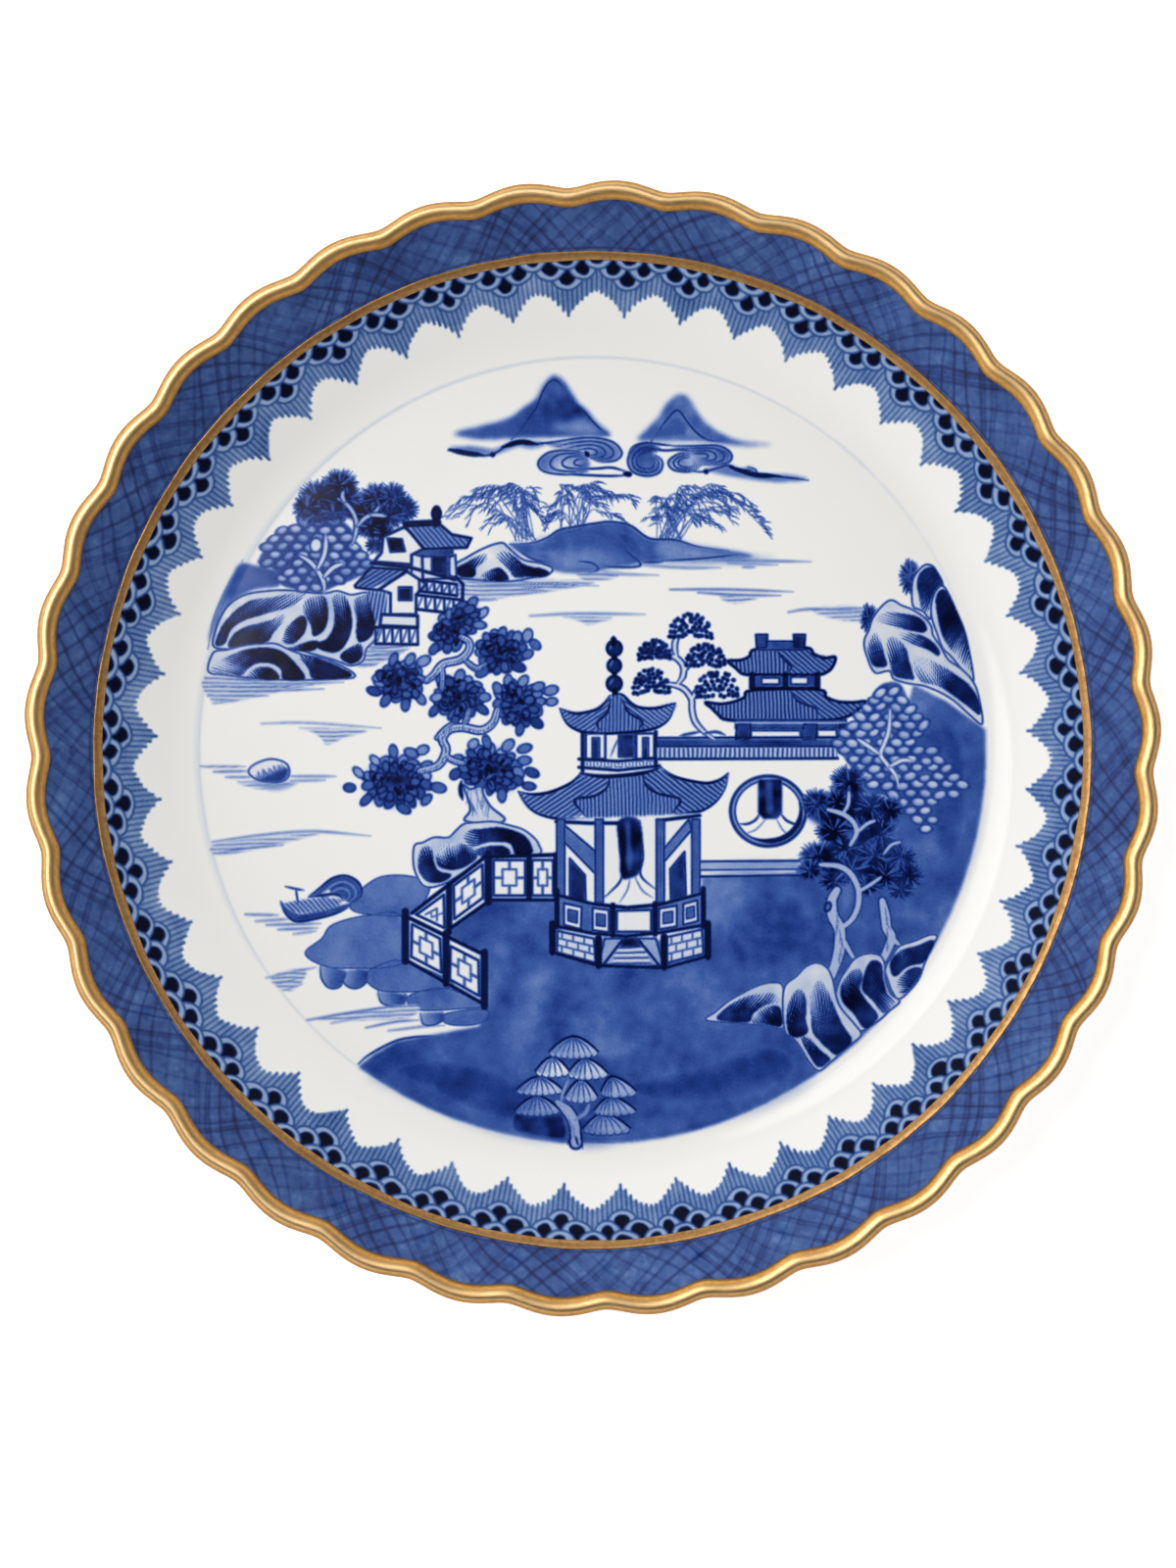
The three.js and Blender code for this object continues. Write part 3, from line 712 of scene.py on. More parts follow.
crown = [(-39, 33.4), (-36.9, 35.4), (-34.7, 37), (-32.4, 36.8), (-31.2, 34.8), (-30.6, 33.4),
         (-29, 34.8), (-26.4, 35), (-24, 32.8), (-24, 31.2), (-26.4, 30), (-26.9, 28.4), (-28.6, 27),
         (-30.2, 28.6), (-30.8, 29.8), (-34, 30.8), (-38, 30.6), (-39, 32)]
wash(pulled(crown, np.mean(crown, 0), 0.84), 0.9, soft=0.3, mottle=0.1)
tufts = (
    (-33.6, 35.1, 4.8, 4.2), (-36.4, 33.5, 5, 4.6), (-38, 32.2, 3.4, 3.6), (-36.8, 31.2, 3.6, 2.8),
    (-32.3, 33.4, 3.4, 3.6), (-34.4, 31.4, 3.8, 2.6), (-28.7, 33.4, 4.4, 4), (-26.6, 33.6, 4, 3.6),
    (-25, 32, 3.6, 3.6), (-27, 31, 4.2, 3.2), (-29.4, 31.1, 3.6, 3), (-29.6, 29.5, 3.6, 2.8),
    (-27.6, 28.7, 3, 2.8), (-28.9, 27.2, 2.4, 2.4),
)
for tuft in tufts:
    needles(*tuft)
pine_limbs = (
    [(-33.8, 33.4), (-32.7, 32.7), (-31.8, 31.6), (-31.3, 30.2), (-31.4, 28.8), (-31.9, 27.2)],
    [(-31.2, 29.7), (-30.2, 30.8), (-29, 31.4), (-28.3, 32.4)],
    [(-29.4, 31.2), (-28.4, 31.2), (-27.4, 31)], [(-32.9, 32.9), (-33.2, 33.8), (-33, 34.4)],
)
for limb in pine_limbs:
    bare_limb(limb, 0.9, 0.9, 0.44, 0.22)

panel([(-24, 26), (-22.4, 26.8), (-18.6, 26.8), (-18.4, 22.8), (-24, 22.6)], 0.08)
panel([(-24, 26.1), (-22.3, 26.8), (-18.7, 26.7), (-19, 25.7), (-22.6, 25.7)], 0.62)
panel([(-21.3, 25.7), (-19.4, 25.7), (-19, 23.2), (-21.3, 23.4)], 0.82)
panel([(-19, 25.6), (-18.2, 25.9), (-18, 22.8), (-19, 23.2)], 0.1)
ruled([(-22.6, 25.8), (-22.5, 22.6)], 0.4, 0.84)
panel([(-29, 25), (-28, 26.2), (-27.8, 28.3), (-25, 29.6), (-24.2, 29), (-22.4, 26.7), (-24, 25.9),
       (-24, 24.6)], 0.03, width=0.42)
panel([(-27.2, 28.1), (-25.3, 28), (-24.9, 26.4), (-26.8, 26.3)], 0.9)
hatch([(-24.4, 29.8), (-20.3, 29.8), (-18.8, 28.5), (-16.1, 28), (-16.6, 27), (-18, 26.7), (-22.2, 26.7),
       (-23.3, 28)], -48, 0.55, 0.26, 0.76, 0.34, bent=False)
ruled([(-25, 29.7), (-20.2, 29.9), (-18.7, 28.6), (-16.1, 28.1), (-16.7, 26.9), (-22.3, 26.7),
       (-24.6, 29.4)], 0.42, 0.88)
ruled([(-24.9, 30.1), (-20.4, 30.3)], 0.7, 0.86)
ruled([(-20.8, 30), (-20.7, 32)], 1.0, 0.88)
oval(-20.7, 31.4, 90, 1.9, 1.5, 0.86, 0.9)
ruled([(-29.4, 24.8), (-24, 24.2), (-18.2, 22.6)], 0.5, 0.84)
panel([(-26.8, 18), (-26.8, 20.8), (-28.4, 21.3), (-24.6, 23.7), (-22, 22), (-23.4, 20.6), (-23.4, 18)],
      0.03, width=0.4)
panel(box(-25.7, 19.9, -24, 21.6), 0.88)
hatch([(-31.4, 21.8), (-29.4, 24.1), (-24.8, 23.9), (-27, 22.4), (-30, 21.2)],
      32, 0.5, 0.26, 0.8, 0.36, bent=False)
ruled([(-31.5, 21.8), (-29.4, 24.2), (-24.6, 23.9), (-28.4, 21.2), (-31.4, 21.6)], 0.4, 0.88)
hatch([(-30, 21.2), (-27.2, 20.9), (-27.2, 17.6), (-28.8, 17)], 80, 0.5, 0.24, 0.8, 0.2, bent=False)
panel([(-28, 18), (-23.2, 17.8), (-23.2, 16.3), (-28.2, 16.5)], 0.08, width=0.45)
rails = (((-28.8, 16.3), (-23.2, 16.2), 2.2), ((-23.4, 20.6), (-17.2, 19.9), 1.9),
         ((-23, 22.6), (-18, 22), 1.5))
for (ax, ay), (bx, by), tall in rails:
    ruled([(ax, ay), (bx, by)], 0.42, 0.86)
    ruled([(ax, ay - tall), (bx, by - tall)], 0.42, 0.86)
    for share in np.linspace(0, 1, 6):
        x = ax + (bx - ax) * share
        y = ay + (by - ay) * share
        ruled([(x, y), (x + 0.05, y - tall)], 0.34, 0.84)
        if share < 1:
            ruled([(x + 0.15, y - tall), (x + 0.9, y - 0.1)], 0.24, 0.7)
ruled([(-18.1, 23), (-17.2, 22), (-17.3, 18.4)], 0.5, 0.86)

# Tree on its rock, and the fence
# The tree is flooded leaf clumps with single leaves at their edges, on a bare twisting trunk; a
# zigzag fence of white panels with a square key runs from its rock to the shore.
clumps = (
    ([(-21, 15), (-19.8, 17.4), (-18, 18.6), (-16, 19.4), (-15.2, 18.2), (-16, 16), (-18, 13.8),
      (-20.6, 13.6)],
     [(-15.9, 19.6), (-14.5, 18.2), (-15, 16.6), (-16.4, 17.2), (-21, 13.4), (-17.4, 19)]),
    ([(-14.8, 14), (-13, 15.4), (-10.6, 15), (-9.2, 13.4), (-10, 11.4), (-12.6, 10.7), (-14.6, 11.8)],
     [(-12, 15.5), (-10, 14.9), (-8.6, 15.2), (-7.6, 14), (-8.6, 12.7), (-14.6, 10.4), (-9.8, 11)]),
    ([(-28, 10), (-26, 11.4), (-23.8, 11), (-22.8, 9.4), (-23.6, 7.4), (-26, 6.8), (-28, 8)],
     [(-24.2, 12), (-22.4, 11.8), (-28.4, 9.6), (-29, 7.8), (-27.4, 6.6), (-24.8, 6), (-22.8, 6.8),
      (-26.4, 12)]),
    ([(-20, 8.6), (-17.8, 9.6), (-15.4, 8.6), (-14.8, 6.8), (-16, 5), (-18.6, 4.6), (-20.4, 6)],
     [(-17.6, 9.8), (-20.6, 7), (-21, 5.2), (-14.3, 7), (-14.6, 5.4), (-18.2, 3.9), (-19.8, 9.2)]),
    ([(-12.4, 7.4), (-10.6, 8.8), (-8, 8.2), (-6.8, 6.4), (-7.8, 4.2), (-10.2, 3.6), (-12.4, 4.8)],
     [(-11.2, 9.2), (-9.2, 9.1), (-7.2, 8.4), (-5.5, 7.9), (-5.4, 6.4), (-7.4, 3.6), (-12.6, 8.2),
      (-9.6, 2.8)]),
    ([(-30, -3.4), (-27.8, -1.4), (-25, -1.2), (-22.6, -2.4), (-21.6, -4.6), (-23.8, -7), (-27, -7.4),
      (-29.6, -6)],
     [(-26.4, -0.2), (-24, -0.4), (-22.5, 0), (-28.8, -1.4), (-31, -3), (-32.2, -5), (-22, -2),
      (-20.4, -5), (-22, -6.6), (-30, -6.6), (-25, -7.8)]),
    ([(-17, -1.4), (-15, 0.2), (-12, -0.2), (-9.8, -1.8), (-9.6, -4.2), (-12, -5.4), (-15, -4.8),
      (-17, -3.4)],
     [(-14, 1), (-11.2, 0.6), (-9, 0.2), (-9, -1.4), (-8, -3), (-8.4, -4.8), (-18.2, -3.2), (-15.8, 0.8),
      (-18, -1.2), (-12, -6)]),
)
for outline, fringe in clumps:
    bush(outline, fringe)
limbs = (
    ([(-22, 9.2), (-21, 10), (-19.8, 11.4), (-17.6, 12), (-16.4, 13.2), (-16.4, 14.4), (-17.4, 15)], 0.8),
    ([(-20, 11.2), (-19.9, 9.6), (-20, 8)], 0.55), ([(-16.8, 11.8), (-15.4, 10.8), (-14.2, 11.4)], 0.55),
    ([(-12.6, 5.3), (-13.2, 3.6), (-14.8, 2.6), (-17.2, 3), (-19, 2.7), (-19.9, 1.4), (-19.4, 0),
      (-20.4, -2), (-22.9, -2.8)], 0.85),
    ([(-19.4, -0.8), (-18.4, -1.4), (-17, -1.8)], 0.6), ([(-17, 3.4), (-16.6, 4.4), (-16.4, 5.4)], 0.55),
    ([(-20.6, 1.6), (-19.6, 2.6), (-18.6, 3.4)], 0.6),
)
for limb, width in limbs:
    stroke(limb, width + 0.4, 0.84, taper=(0.8, 0.8))
for limb, width in limbs:
    stroke(limb, width - 0.12, 0.18, cover=True, taper=(0.8, 0.8))
    hairs(limb, -100, 0.46, 0.4, 0.8, width=0.2)
trunk = [(-17.2, -4.6), (-16.2, -5.2), (-14.8, -4.8), (-14.4, -6), (-13.4, -7.6), (-11.6, -9.2),
         (-13.4, -9.8), (-16, -9.6), (-17, -9.2), (-16.2, -8), (-16.6, -6.2)]
wash(trunk, 0.14, soft=0.12, cover=True)
stroke(trunk, 0.3, 0.76, closed=True)
hairs([(-16.6, -5), (-15.8, -5.2), (-15, -5)], -86, 3.4, 0.3, 0.5)
hairs([(-16.4, -6.4), (-15.9, -7.8)], -66, 1.8, 0.4, 0.7)
hairs([(-14.6, -6.2), (-13.6, -7.6)], -110, 1.6, 0.4, 0.6)
stroke([(-17.4, -4.2), (-17.5, -5.4), (-17.2, -6.6)], 0.6, 0.84)

boulder = [(-23.7, -15.3), (-23.6, -12.7), (-22.5, -12.3), (-21, -11.6), (-19.1, -11.6), (-18.1, -10.7),
           (-17, -9.8), (-15.2, -9.6), (-13.1, -9.5), (-11, -10), (-9.3, -10.5), (-7.9, -11.5),
           (-7.1, -12.6), (-7.3, -13.9), (-13.5, -14.2), (-14.8, -14.6), (-17.7, -16.6), (-19.8, -17.8),
           (-21.8, -18.2), (-22.9, -17.4)]
rock(boulder, (
    ([(-23, -14.3), (-22.5, -13), (-21.8, -12.8), (-21.3, -13.4), (-21.1, -14.7), (-20.6, -15.9),
      (-19.8, -16.3), (-18.7, -16.6), (-20, -17.5), (-21.8, -17.4), (-22.9, -16.1)],
     (-21.4, -15.6), (-22.4, -12.2)),
    ([(-20.6, -14.6), (-20.4, -12.9), (-18.4, -12.4), (-16.4, -12.8), (-15.3, -14.2), (-17.3, -15.6),
      (-19.1, -15.8), (-20.3, -15.4)], (-18.2, -15.6), (-18.8, -12.8)),
    ([(-16.2, -12.8), (-17, -11.5), (-16.2, -10.7), (-14.5, -10.5), (-12.5, -10.3), (-10.6, -10.7),
      (-8.9, -11.5), (-8.1, -12.8), (-8.2, -13.8), (-10.2, -13.8), (-10.4, -13.2), (-11, -12.3),
      (-12.7, -12.1), (-14.3, -12.3), (-15.6, -12.8)], (-13.4, -11.8), (-17.4, -11.4)),
    ([(-15.8, -13.4), (-14.3, -12.9), (-12.5, -12.7), (-11.4, -13), (-11, -13.8), (-13.1, -14),
      (-14.3, -14.2), (-15.2, -13.9)], (-13, -13.7), (-16.6, -13.2)),
), pale=0.14, dark=0.88, solid=0.55)

fence_panels = (
    box(-13.1, -19.3, -8.9, -14.6), box(-8, -19.3, -5.2, -14.6),
    [(-18.3, -22.4), (-14.5, -19.6), (-14.6, -15.2), (-18.4, -18)],
    [(-23.4, -21.8), (-19.6, -23.6), (-19.7, -19.2), (-23, -21.6)],
    [(-24, -27.4), (-20, -29.5), (-20.2, -25), (-23.9, -23.1)],
    [(-18.9, -30.4), (-15, -32.6), (-15.1, -27.9), (-18.8, -26)],
)
key = box(0.28, 0.28, 0.72, 0.74)
key_arms = (
    ((0.5, 0.74), (0.5, 1)), ((0.5, 0.28), (0.5, 0)), ((0, 0.5), (0.28, 0.5)), ((0.72, 0.5), (1, 0.5)),
)


# Spots given as shares along the foot and up the side of a four-cornered panel
def on_panel(corners, shares):
    low, right, high, left = [np.array(p) for p in corners]
    spots = []
    for u, v in shares:
        foot = low * (1 - u) + right * u
        head = left * (1 - u) + high * u
        spots.append(tuple(foot * (1 - v) + head * v))
    return spots


for corners in fence_panels:
    panel(corners, 0.03, line=0.84, width=0.36)
    if corners is not fence_panels[3]:
        ruled(on_panel(corners, key), 0.28, 0.66, closed=True)
        for arm in key_arms:
            ruled(on_panel(corners, arm), 0.4, 0.62)
ruled([(-22.1, -21.8), (-20.6, -21), (-20.6, -22.6)], 0.26, 0.66)
ruled([(-21.4, -21.4), (-21.3, -22.2), (-20.6, -21.9), (-19.8, -21.6)], 0.24, 0.6)
fence_rails = (
    ((-14.5, -14.2), (-4.8, -13.9)), ((-13.8, -19.9), (-4.8, -19.9)), ((-14.5, -14.4), (-23.9, -21.6)),
    ((-13.9, -20.2), (-19.6, -24.2)), ((-24.8, -22), (-14.2, -27.2)), ((-24.8, -27.8), (-14.2, -33.8)),
)
for pair in fence_rails:
    ruled(pair, 0.55, 0.88)
fence_posts = (
    (-13.8, -20.2, -13.8, 1.1), (-8.4, -19.8, -13.9, 0.8), (-19, -24.2, -17.9, 0.9),
    (-24.8, -28, -21.4, 1.1), (-19.4, -31, -24.6, 1.0), (-14.3, -34, -26.8, 1.1), (-4.9, -20, -13.8, 0.6),
)
for x, low, high, width in fence_posts:
    ruled([(x, low), (x, high)], width, 0.86)

# Pavilion
# A two-storey garden pavilion on a brick base: ruled tile lines on two sweeping roofs, a bead finial,
# white walls left bare, dark hangings and a balcony of little windows.
BRICK = 0.34

for y, size in ((13.5, 2.3), (11.2, 2.1), (8.8, 2.3)):
    oval(2.9, y, 0, size, size * 1.02, 0.8, 0.94)
    oval(2.5, y + 0.25, 60, 0.9, 0.34, 0.4, 0.6, rim=0.1)
strokes(([(2.8, 14), (2.8, 15)], [(2.9, 12.4), (2.9, 12)], [(2.9, 10.1), (2.9, 9.8)], [(3, 7.9), (3, 7)]),
        0.8, 0.9, taper=(1, 0.4))

hatch(box(-1.5, -3.2, 8.7, 2.4), 90, 9, 0.1, 0.1, 0.03, bent=False)
roof_top = [(2.3, 7.2), (1.6, 6.2), (0.6, 5.4), (-0.8, 5), (-2.4, 4.85), (-4.3, 5.5), (-3.8, 4.2),
            (-3, 3.2), (-1.6, 2.5), (0, 2.3), (2, 2.2), (5, 2.4), (7, 2.6), (8.8, 3.1), (10.2, 4.2),
            (11, 6.2), (10.2, 6), (8.8, 5.6), (7.4, 5.5), (6, 5.7), (5, 6.3), (3.8, 7.4)]
hatch([(2.4, 7.2), (0.6, 5.4), (-2.4, 4.9), (-4.3, 5.4), (-3, 3.2), (-1.6, 2.5), (1.2, 2.3), (0.6, 3.6),
       (2.2, 5)], 34, 0.5, 0.22, 0.82, 0.3)
hatch([(3.7, 7.3), (5, 6.3), (7.4, 5.6), (11, 6.2), (10, 4), (8.4, 3), (5.9, 2.5), (6.6, 3.8), (4.8, 5)],
      -36, 0.5, 0.22, 0.82, 0.3)
hatch([(0.4, 3.5), (2, 4.8), (2.6, 7), (3.8, 7.2), (4.6, 5.2), (6.7, 3.7), (6, 2.5), (1.2, 2.3)],
      90, 0.5, 0.22, 0.82, 0.34)
strokes((roof_top[:6], roof_top[5:16], roof_top[15:] + roof_top[:1]), 0.42, 0.9)
strokes(([(2.4, 6.8), (2, 5), (0.6, 3.6), (1.2, 2.4)], [(3.9, 6.8), (4.8, 5), (6.6, 3.8), (6, 2.5)]),
        0.44, 0.86)

for left, right in ((-0.9, 1.7), (5.8, 8.2)):
    panel(box(left, -1.2, right, 2.2), 0.03, width=0.36)
    panel(box(left + 0.9, -1.1, right - 0.8, 1.6), 0.8, width=0.3)
panel(box(3.5, -0.9, 5.6, 2.2), 0.84, width=0.3)
stroke([(3.6, 1.8), (3, 0.6), (2.4, -0.9)], 0.26, 0.6)
stroke([(5.5, 1.8), (5.5, 0), (5.2, -0.9)], 0.26, 0.6)
for x in (-1.3, 8.4):
    ruled([(x, -2.8), (x, 2.4)], 0.55, 0.84)
ruled([(-1.8, -1.2), (3.4, -1.5), (8.9, -1)], 0.42, 0.86)
ruled([(-1.8, -2.3), (3.4, -2.7), (8.9, -2.1)], 0.42, 0.86)
for x in np.arange(-1.2, 8.6, 1.4):
    ruled(box(x, -2.25, x + 0.95, -1.5), 0.22, 0.6, closed=True)
    stroke([(x + 0.45, -1.8), (x + 0.55, -2)], 0.4, 0.8)

roof_low = [(-1.6, -3.2), (-2.6, -4.2), (-4, -5), (-6, -5.7), (-8, -5.9), (-9.8, -5.5), (-9.2, -6.6),
            (-8.2, -7.8), (-6.8, -8.6), (-4.6, -9.1), (-2, -9.2), (2, -9.3), (6, -9.3), (10, -8.9),
            (13, -8.3), (14.6, -8), (16.4, -6.8), (17.6, -5), (18, -3.1), (17, -3.9), (15.5, -4.4),
            (14, -4.3), (12, -3.9), (10.6, -3.4), (9.2, -2.4)]
hatch([(-1.6, -3.3), (-4, -5.1), (-8, -6), (-9.7, -5.6), (-8.4, -7.8), (-4.8, -9), (-1.4, -8.6),
       (-2.4, -6.6), (0.4, -6), (2.2, -4.4), (2, -3.4)], 34, 0.55, 0.24, 0.82, 0.32)
hatch([(9.2, -2.6), (12, -4), (15.5, -4.5), (18, -3.3), (16.6, -6.6), (14.6, -8), (10.6, -8.6),
       (11.6, -6.6), (8.8, -5.8), (6.8, -4.4), (6.6, -3)], -38, 0.55, 0.24, 0.84, 0.36)
hatch([(-2.4, -6.6), (0.4, -6), (2, -4.6), (2.4, -3.4), (6.4, -3.2), (7, -4.6), (8.8, -5.8), (11.6, -6.5),
       (11, -7.8), (9.8, -8.8), (4, -9.2), (-0.6, -9), (-1.6, -8)], 91, 0.5, 0.22, 0.82, 0.32)
strokes((roof_low[:6], roof_low[5:19], roof_low[18:]), 0.44, 0.9)
stroke([(-1.6, -3.1), (1, -3.5), (4, -3.4), (7, -3), (9.2, -2.3)], 0.6, 0.88)
stroke([(2.2, -3.6), (1.9, -5), (0.2, -6.1), (-2.4, -6.6), (-1.4, -8.2), (-0.6, -9)], 0.44, 0.86)
stroke([(6.6, -3.3), (7.2, -4.8), (8.8, -5.8), (11.6, -6.5), (11, -7.8), (10, -8.8)], 0.44, 0.86)

wash([(-4.6, -9.2), (14.2, -8.4), (14.4, -20), (9, -21), (4, -21.2), (-4.4, -20)],
     0.03, soft=0.1, cover=True, bent=False)
ruled([(-4.8, -9.5), (-0.4, -9.7), (4, -9.7)], 0.5, 0.86)
ruled([(9.2, -9.3), (14.2, -8.7)], 0.5, 0.86)
for brace in ([(-3.7, -10), (0.3, -13.4), (0.4, -16.4), (-3.7, -12.2)],
              [(12.8, -9.2), (13.1, -10.6), (9.5, -14.8), (9.4, -13.2)]):
    panel(brace, 0.5)
for door in ([(-3, -14.4), (-1, -16.6), (-0.9, -20.2), (-3, -19.8)],
             [(10.3, -15.8), (12.2, -13.5), (12.4, -20), (10.4, -20.2)]):
    panel(door, 0.76)
for x in (-4.2, 0.9, 9, 13.7):
    panel(box(x - 0.5, -20.2, x + 0.5, -9.2), 0.58, line=0.86, width=0.3)
hanging = [(3.4, -9.4), (6.2, -9.3), (6.7, -14), (6.2, -16.3), (5, -17), (3.8, -16.8), (3.6, -13)]
wash(hanging, 0.82, soft=0.12, cover=True, mottle=0.12)
wash([(4.4, -9.8), (5, -9.8), (5.2, -15), (4.6, -16)], 0.6, soft=0.2, cover=True)
strokes(([(3.4, -9.6), (3.6, -13), (3.9, -16.8), (2.4, -18.8), (1.2, -19.8)],
         [(6.3, -9.4), (6.7, -14), (6.4, -16.6), (8.5, -18.6)]), 0.32, 0.8)
strokes(([(5, -17), (4.6, -18.6), (3.6, -20.2)], [(5.6, -16.8), (6.6, -18.6), (8, -19.6)]), 0.22, 0.55)

balcony = [(-4.8, -19.2), (0, -20.4), (4.6, -20.9), (9, -20.5), (14.6, -19), (14.8, -23.2), (9, -24.2),
           (4.4, -24.7), (0, -24.3), (-4.6, -23.4)]
wash(balcony, 0.5, soft=0.1, cover=True, bent=False)
panes = (
    [(-3.8, -23.2), (-1.5, -23.8), (-1.4, -20.8), (-3.8, -20.3)],
    [(0, -23.9), (2.2, -24.2), (2.2, -21.2), (0, -20.9)],
    [(3.2, -24.1), (7.8, -24.1), (7.8, -21.2), (3.2, -21.3)],
    [(8.8, -23.8), (11.2, -23.4), (11.2, -20.6), (8.8, -21)],
    [(12, -23.2), (14, -22.7), (13.9, -19.9), (12, -20.4)],
)
for pane in panes:
    panel(pane, 0.04, width=0.36)
    if pane is not panes[2]:
        panel(pulled(pane, np.mean(pane, 0), 0.5), 0.62, line=0.84, width=0.28)
ruled(balcony, 0.5, 0.88, closed=True)
for x, low, high in ((-4.7, -23.4, -18.6), (2.7, -24.6, -20.6), (8.3, -24.4, -20.4), (14.7, -23.4, -18.4)):
    ruled([(x, low), (x, high)], 0.8, 0.86)

for corners in ([(-4.7, -26.8), (0.4, -28.2), (0.2, -25), (-4.6, -24)],
                [(9.9, -28.2), (14.7, -27), (14.5, -23.8), (9.9, -24.8)]):
    panel(corners, 0.1)
    low, right, high, left = [np.array(p) for p in corners]
    for course in (0, BRICK, 0.67):
        start = low + (left - low) * course
        end = right + (high - right) * course
        ruled([tuple(start), tuple(end)], 0.28, 0.66)
        for share in np.arange(0.12 + 0.13 * (course == BRICK), 1, 0.3):
            foot = start + (end - start) * share
            ruled([tuple(foot), tuple(foot + (left - low) * BRICK)], 0.26, 0.66)
panel([(0.9, -28.4), (9.4, -28.6), (8.4, -25), (1.6, -25)], 0.3)
hatch([(2.6, -28.4), (7.8, -28.5), (6.8, -25.4), (3.4, -25.4)], 2, 0.72, 0.26, 0.74, 0.12, bent=False)
panel([(3.8, -26), (6.3, -26), (6.2, -25), (3.9, -25)], 0.8)
ruled([(1.5, -28.4), (3.8, -25.4)], 0.42, 0.84)
ruled([(8.8, -28.5), (6.3, -25.4)], 0.42, 0.84)
ruled([(-4.8, -27), (0.8, -28.6), (9.6, -28.9), (15, -27.4)], 0.5, 0.88)
for x, low, high in ((-5.3, -26.8, -23), (15.3, -27.4, -23), (0.8, -28.6, -25), (9.5, -28.8, -24.8)):
    ruled([(x, low), (x, high)], 1.0, 0.88)

# Temple, garden wall and the tree behind
# Ruled like the pavilion: two hipped roofs over a dark storey, a long wall with a fluted coping and a
# round moon window with a curtain. The small tree between them is heads of dots on a bare fork.
MOON = (23.3, -8.1)
TILE_GAP = 0.52
TILE_LINE = 0.24
TILE_DARK = 0.86
TILE_PALE = 0.34
TILES = (TILE_GAP, TILE_LINE, TILE_DARK, TILE_PALE)

wash([(21, 10), (30, 10), (30, 8), (21, 8)], 0.72, soft=0.1, bent=False)
for pane in (box(22.4, 8.7, 24.8, 9.6), box(26.3, 8.7, 28.6, 9.7)):
    panel(pane, 0.05, line=0.86)
upper = [(18, 11.8), (19.6, 11.9), (20.8, 12.4), (21.8, 13.4), (28.2, 13.6), (29.4, 12.7), (30.8, 12.2),
         (32.2, 12.3), (31.8, 11), (31, 10.3), (29.8, 10), (26, 10), (22, 10), (20, 10.1), (19, 10.9)]
lower = [(15, 6.3), (17, 6.1), (18.8, 6.4), (20.2, 7), (21.2, 7.9), (29.9, 8), (31, 7), (32.6, 6.4),
         (34.6, 6.3), (36.2, 6.4), (35, 5.2), (33.6, 4.4), (31, 4), (24, 3.9), (18, 4), (16.6, 4.8),
         (15.8, 5.6)]
hatch(upper, 92, *TILES)
hatch([(24.6, 13.4), (28.2, 13.6), (29.4, 12.7), (32, 12.2), (31.4, 10.6), (29.8, 10), (25.6, 10.2),
       (26.4, 11)], -40, *TILES)
hatch(lower, 92, *TILES)
hatch([(26.4, 7.9), (29.9, 8), (31, 7), (33, 6.3), (36, 6.3), (34.4, 4.8), (31, 4), (29.8, 4.6),
       (29.6, 5.6), (27.4, 6.4)], -36, *TILES)
strokes((upper, lower), 0.44, 0.9, closed=True)
strokes(([(24.4, 13.3), (25.4, 12), (26.4, 11), (25.6, 10.2)],
         [(26.2, 7.8), (27.4, 6.4), (29.6, 5.5), (29.8, 4.2)]), 0.4, 0.84)
panel(box(22, 13.3, 28, 14.4), 0.66, line=0.86)
for left in (21.8, 26.8):
    panel([(left, 13.6), (left + 1.3, 13.6), (left + 1.4, 15.3), (left - 0.1, 15.3)], 0.8, line=0.9)
ruled([(21, 8.2), (30, 8.2)], 0.5, 0.9)
for x in (21.2, 25.6, 29.8):
    ruled([(x, 8.3), (x, 10)], 0.9, 0.86)
panel([(19, 4), (33.6, 4), (33.6, 2.9), (19, 2.9)], 0.68)
ruled([(19, 3.6), (33.6, 3.6)], 0.2, 0.2, cover=True)
for opening in (box(21, 1.6, 27.6, 2.6), box(29.8, 1.6, 32.4, 2.7)):
    panel(opening, 0.03)
for left, right, low in ((19, 20.8, 1.4), (27.8, 29.6, 1.4), (32.6, 34.4, 1.9)):
    panel([(left, low), (right, low), (right + 0.2, 3.4), (left + 0.2, 3.4)], 0.74, line=0.86)
wash([(8.2, 1.5), (32.6, 1.5), (32.6, 0.5), (8.2, 0.5)], 0.7, soft=0.1, bent=False)
ruled([(8.2, 1.6), (32.6, 1.7)], 0.32, 0.86)
hatch([(8.6, 0.4), (32.5, 0.4), (32.5, -1.1), (8.6, -1.1)], 88, 0.62, 0.28, 0.74, 0.14, bent=False)
ruled([(8.6, 0.5), (32.5, 0.5)], 0.36, 0.86)
ruled([(8.8, -1.2), (32.5, -1.1)], 0.4, 0.84)
moon = [(MOON[0] + 4.75 * math.cos(t), MOON[1] + 4.4 * math.sin(t)) for t in np.arange(0, 6.28, 0.32)]
stroke(moon, 0.95, 0.78, closed=True)
stroke(pulled(moon, MOON, 0.98), 0.2, 0.3, cover=True, closed=True)
crescent = [(MOON[0] + 4.35 * math.cos(t), MOON[1] + 4.0 * math.sin(t)) for t in np.arange(-2.1, 0.5, 0.2)]
stroke(crescent, 0.75, 0.84, taper=(0.2, 0.3))
wash([(21.9, -3.8), (25.1, -3.8), (25.2, -8.4), (24.5, -9.1), (22.6, -9.1), (22, -8.4)],
     0.8, soft=0.12, mottle=0.14, bent=False)
wash([(23, -4.4), (23.8, -4.4), (23.9, -8), (23.1, -8)], 0.6, soft=0.2, cover=True)
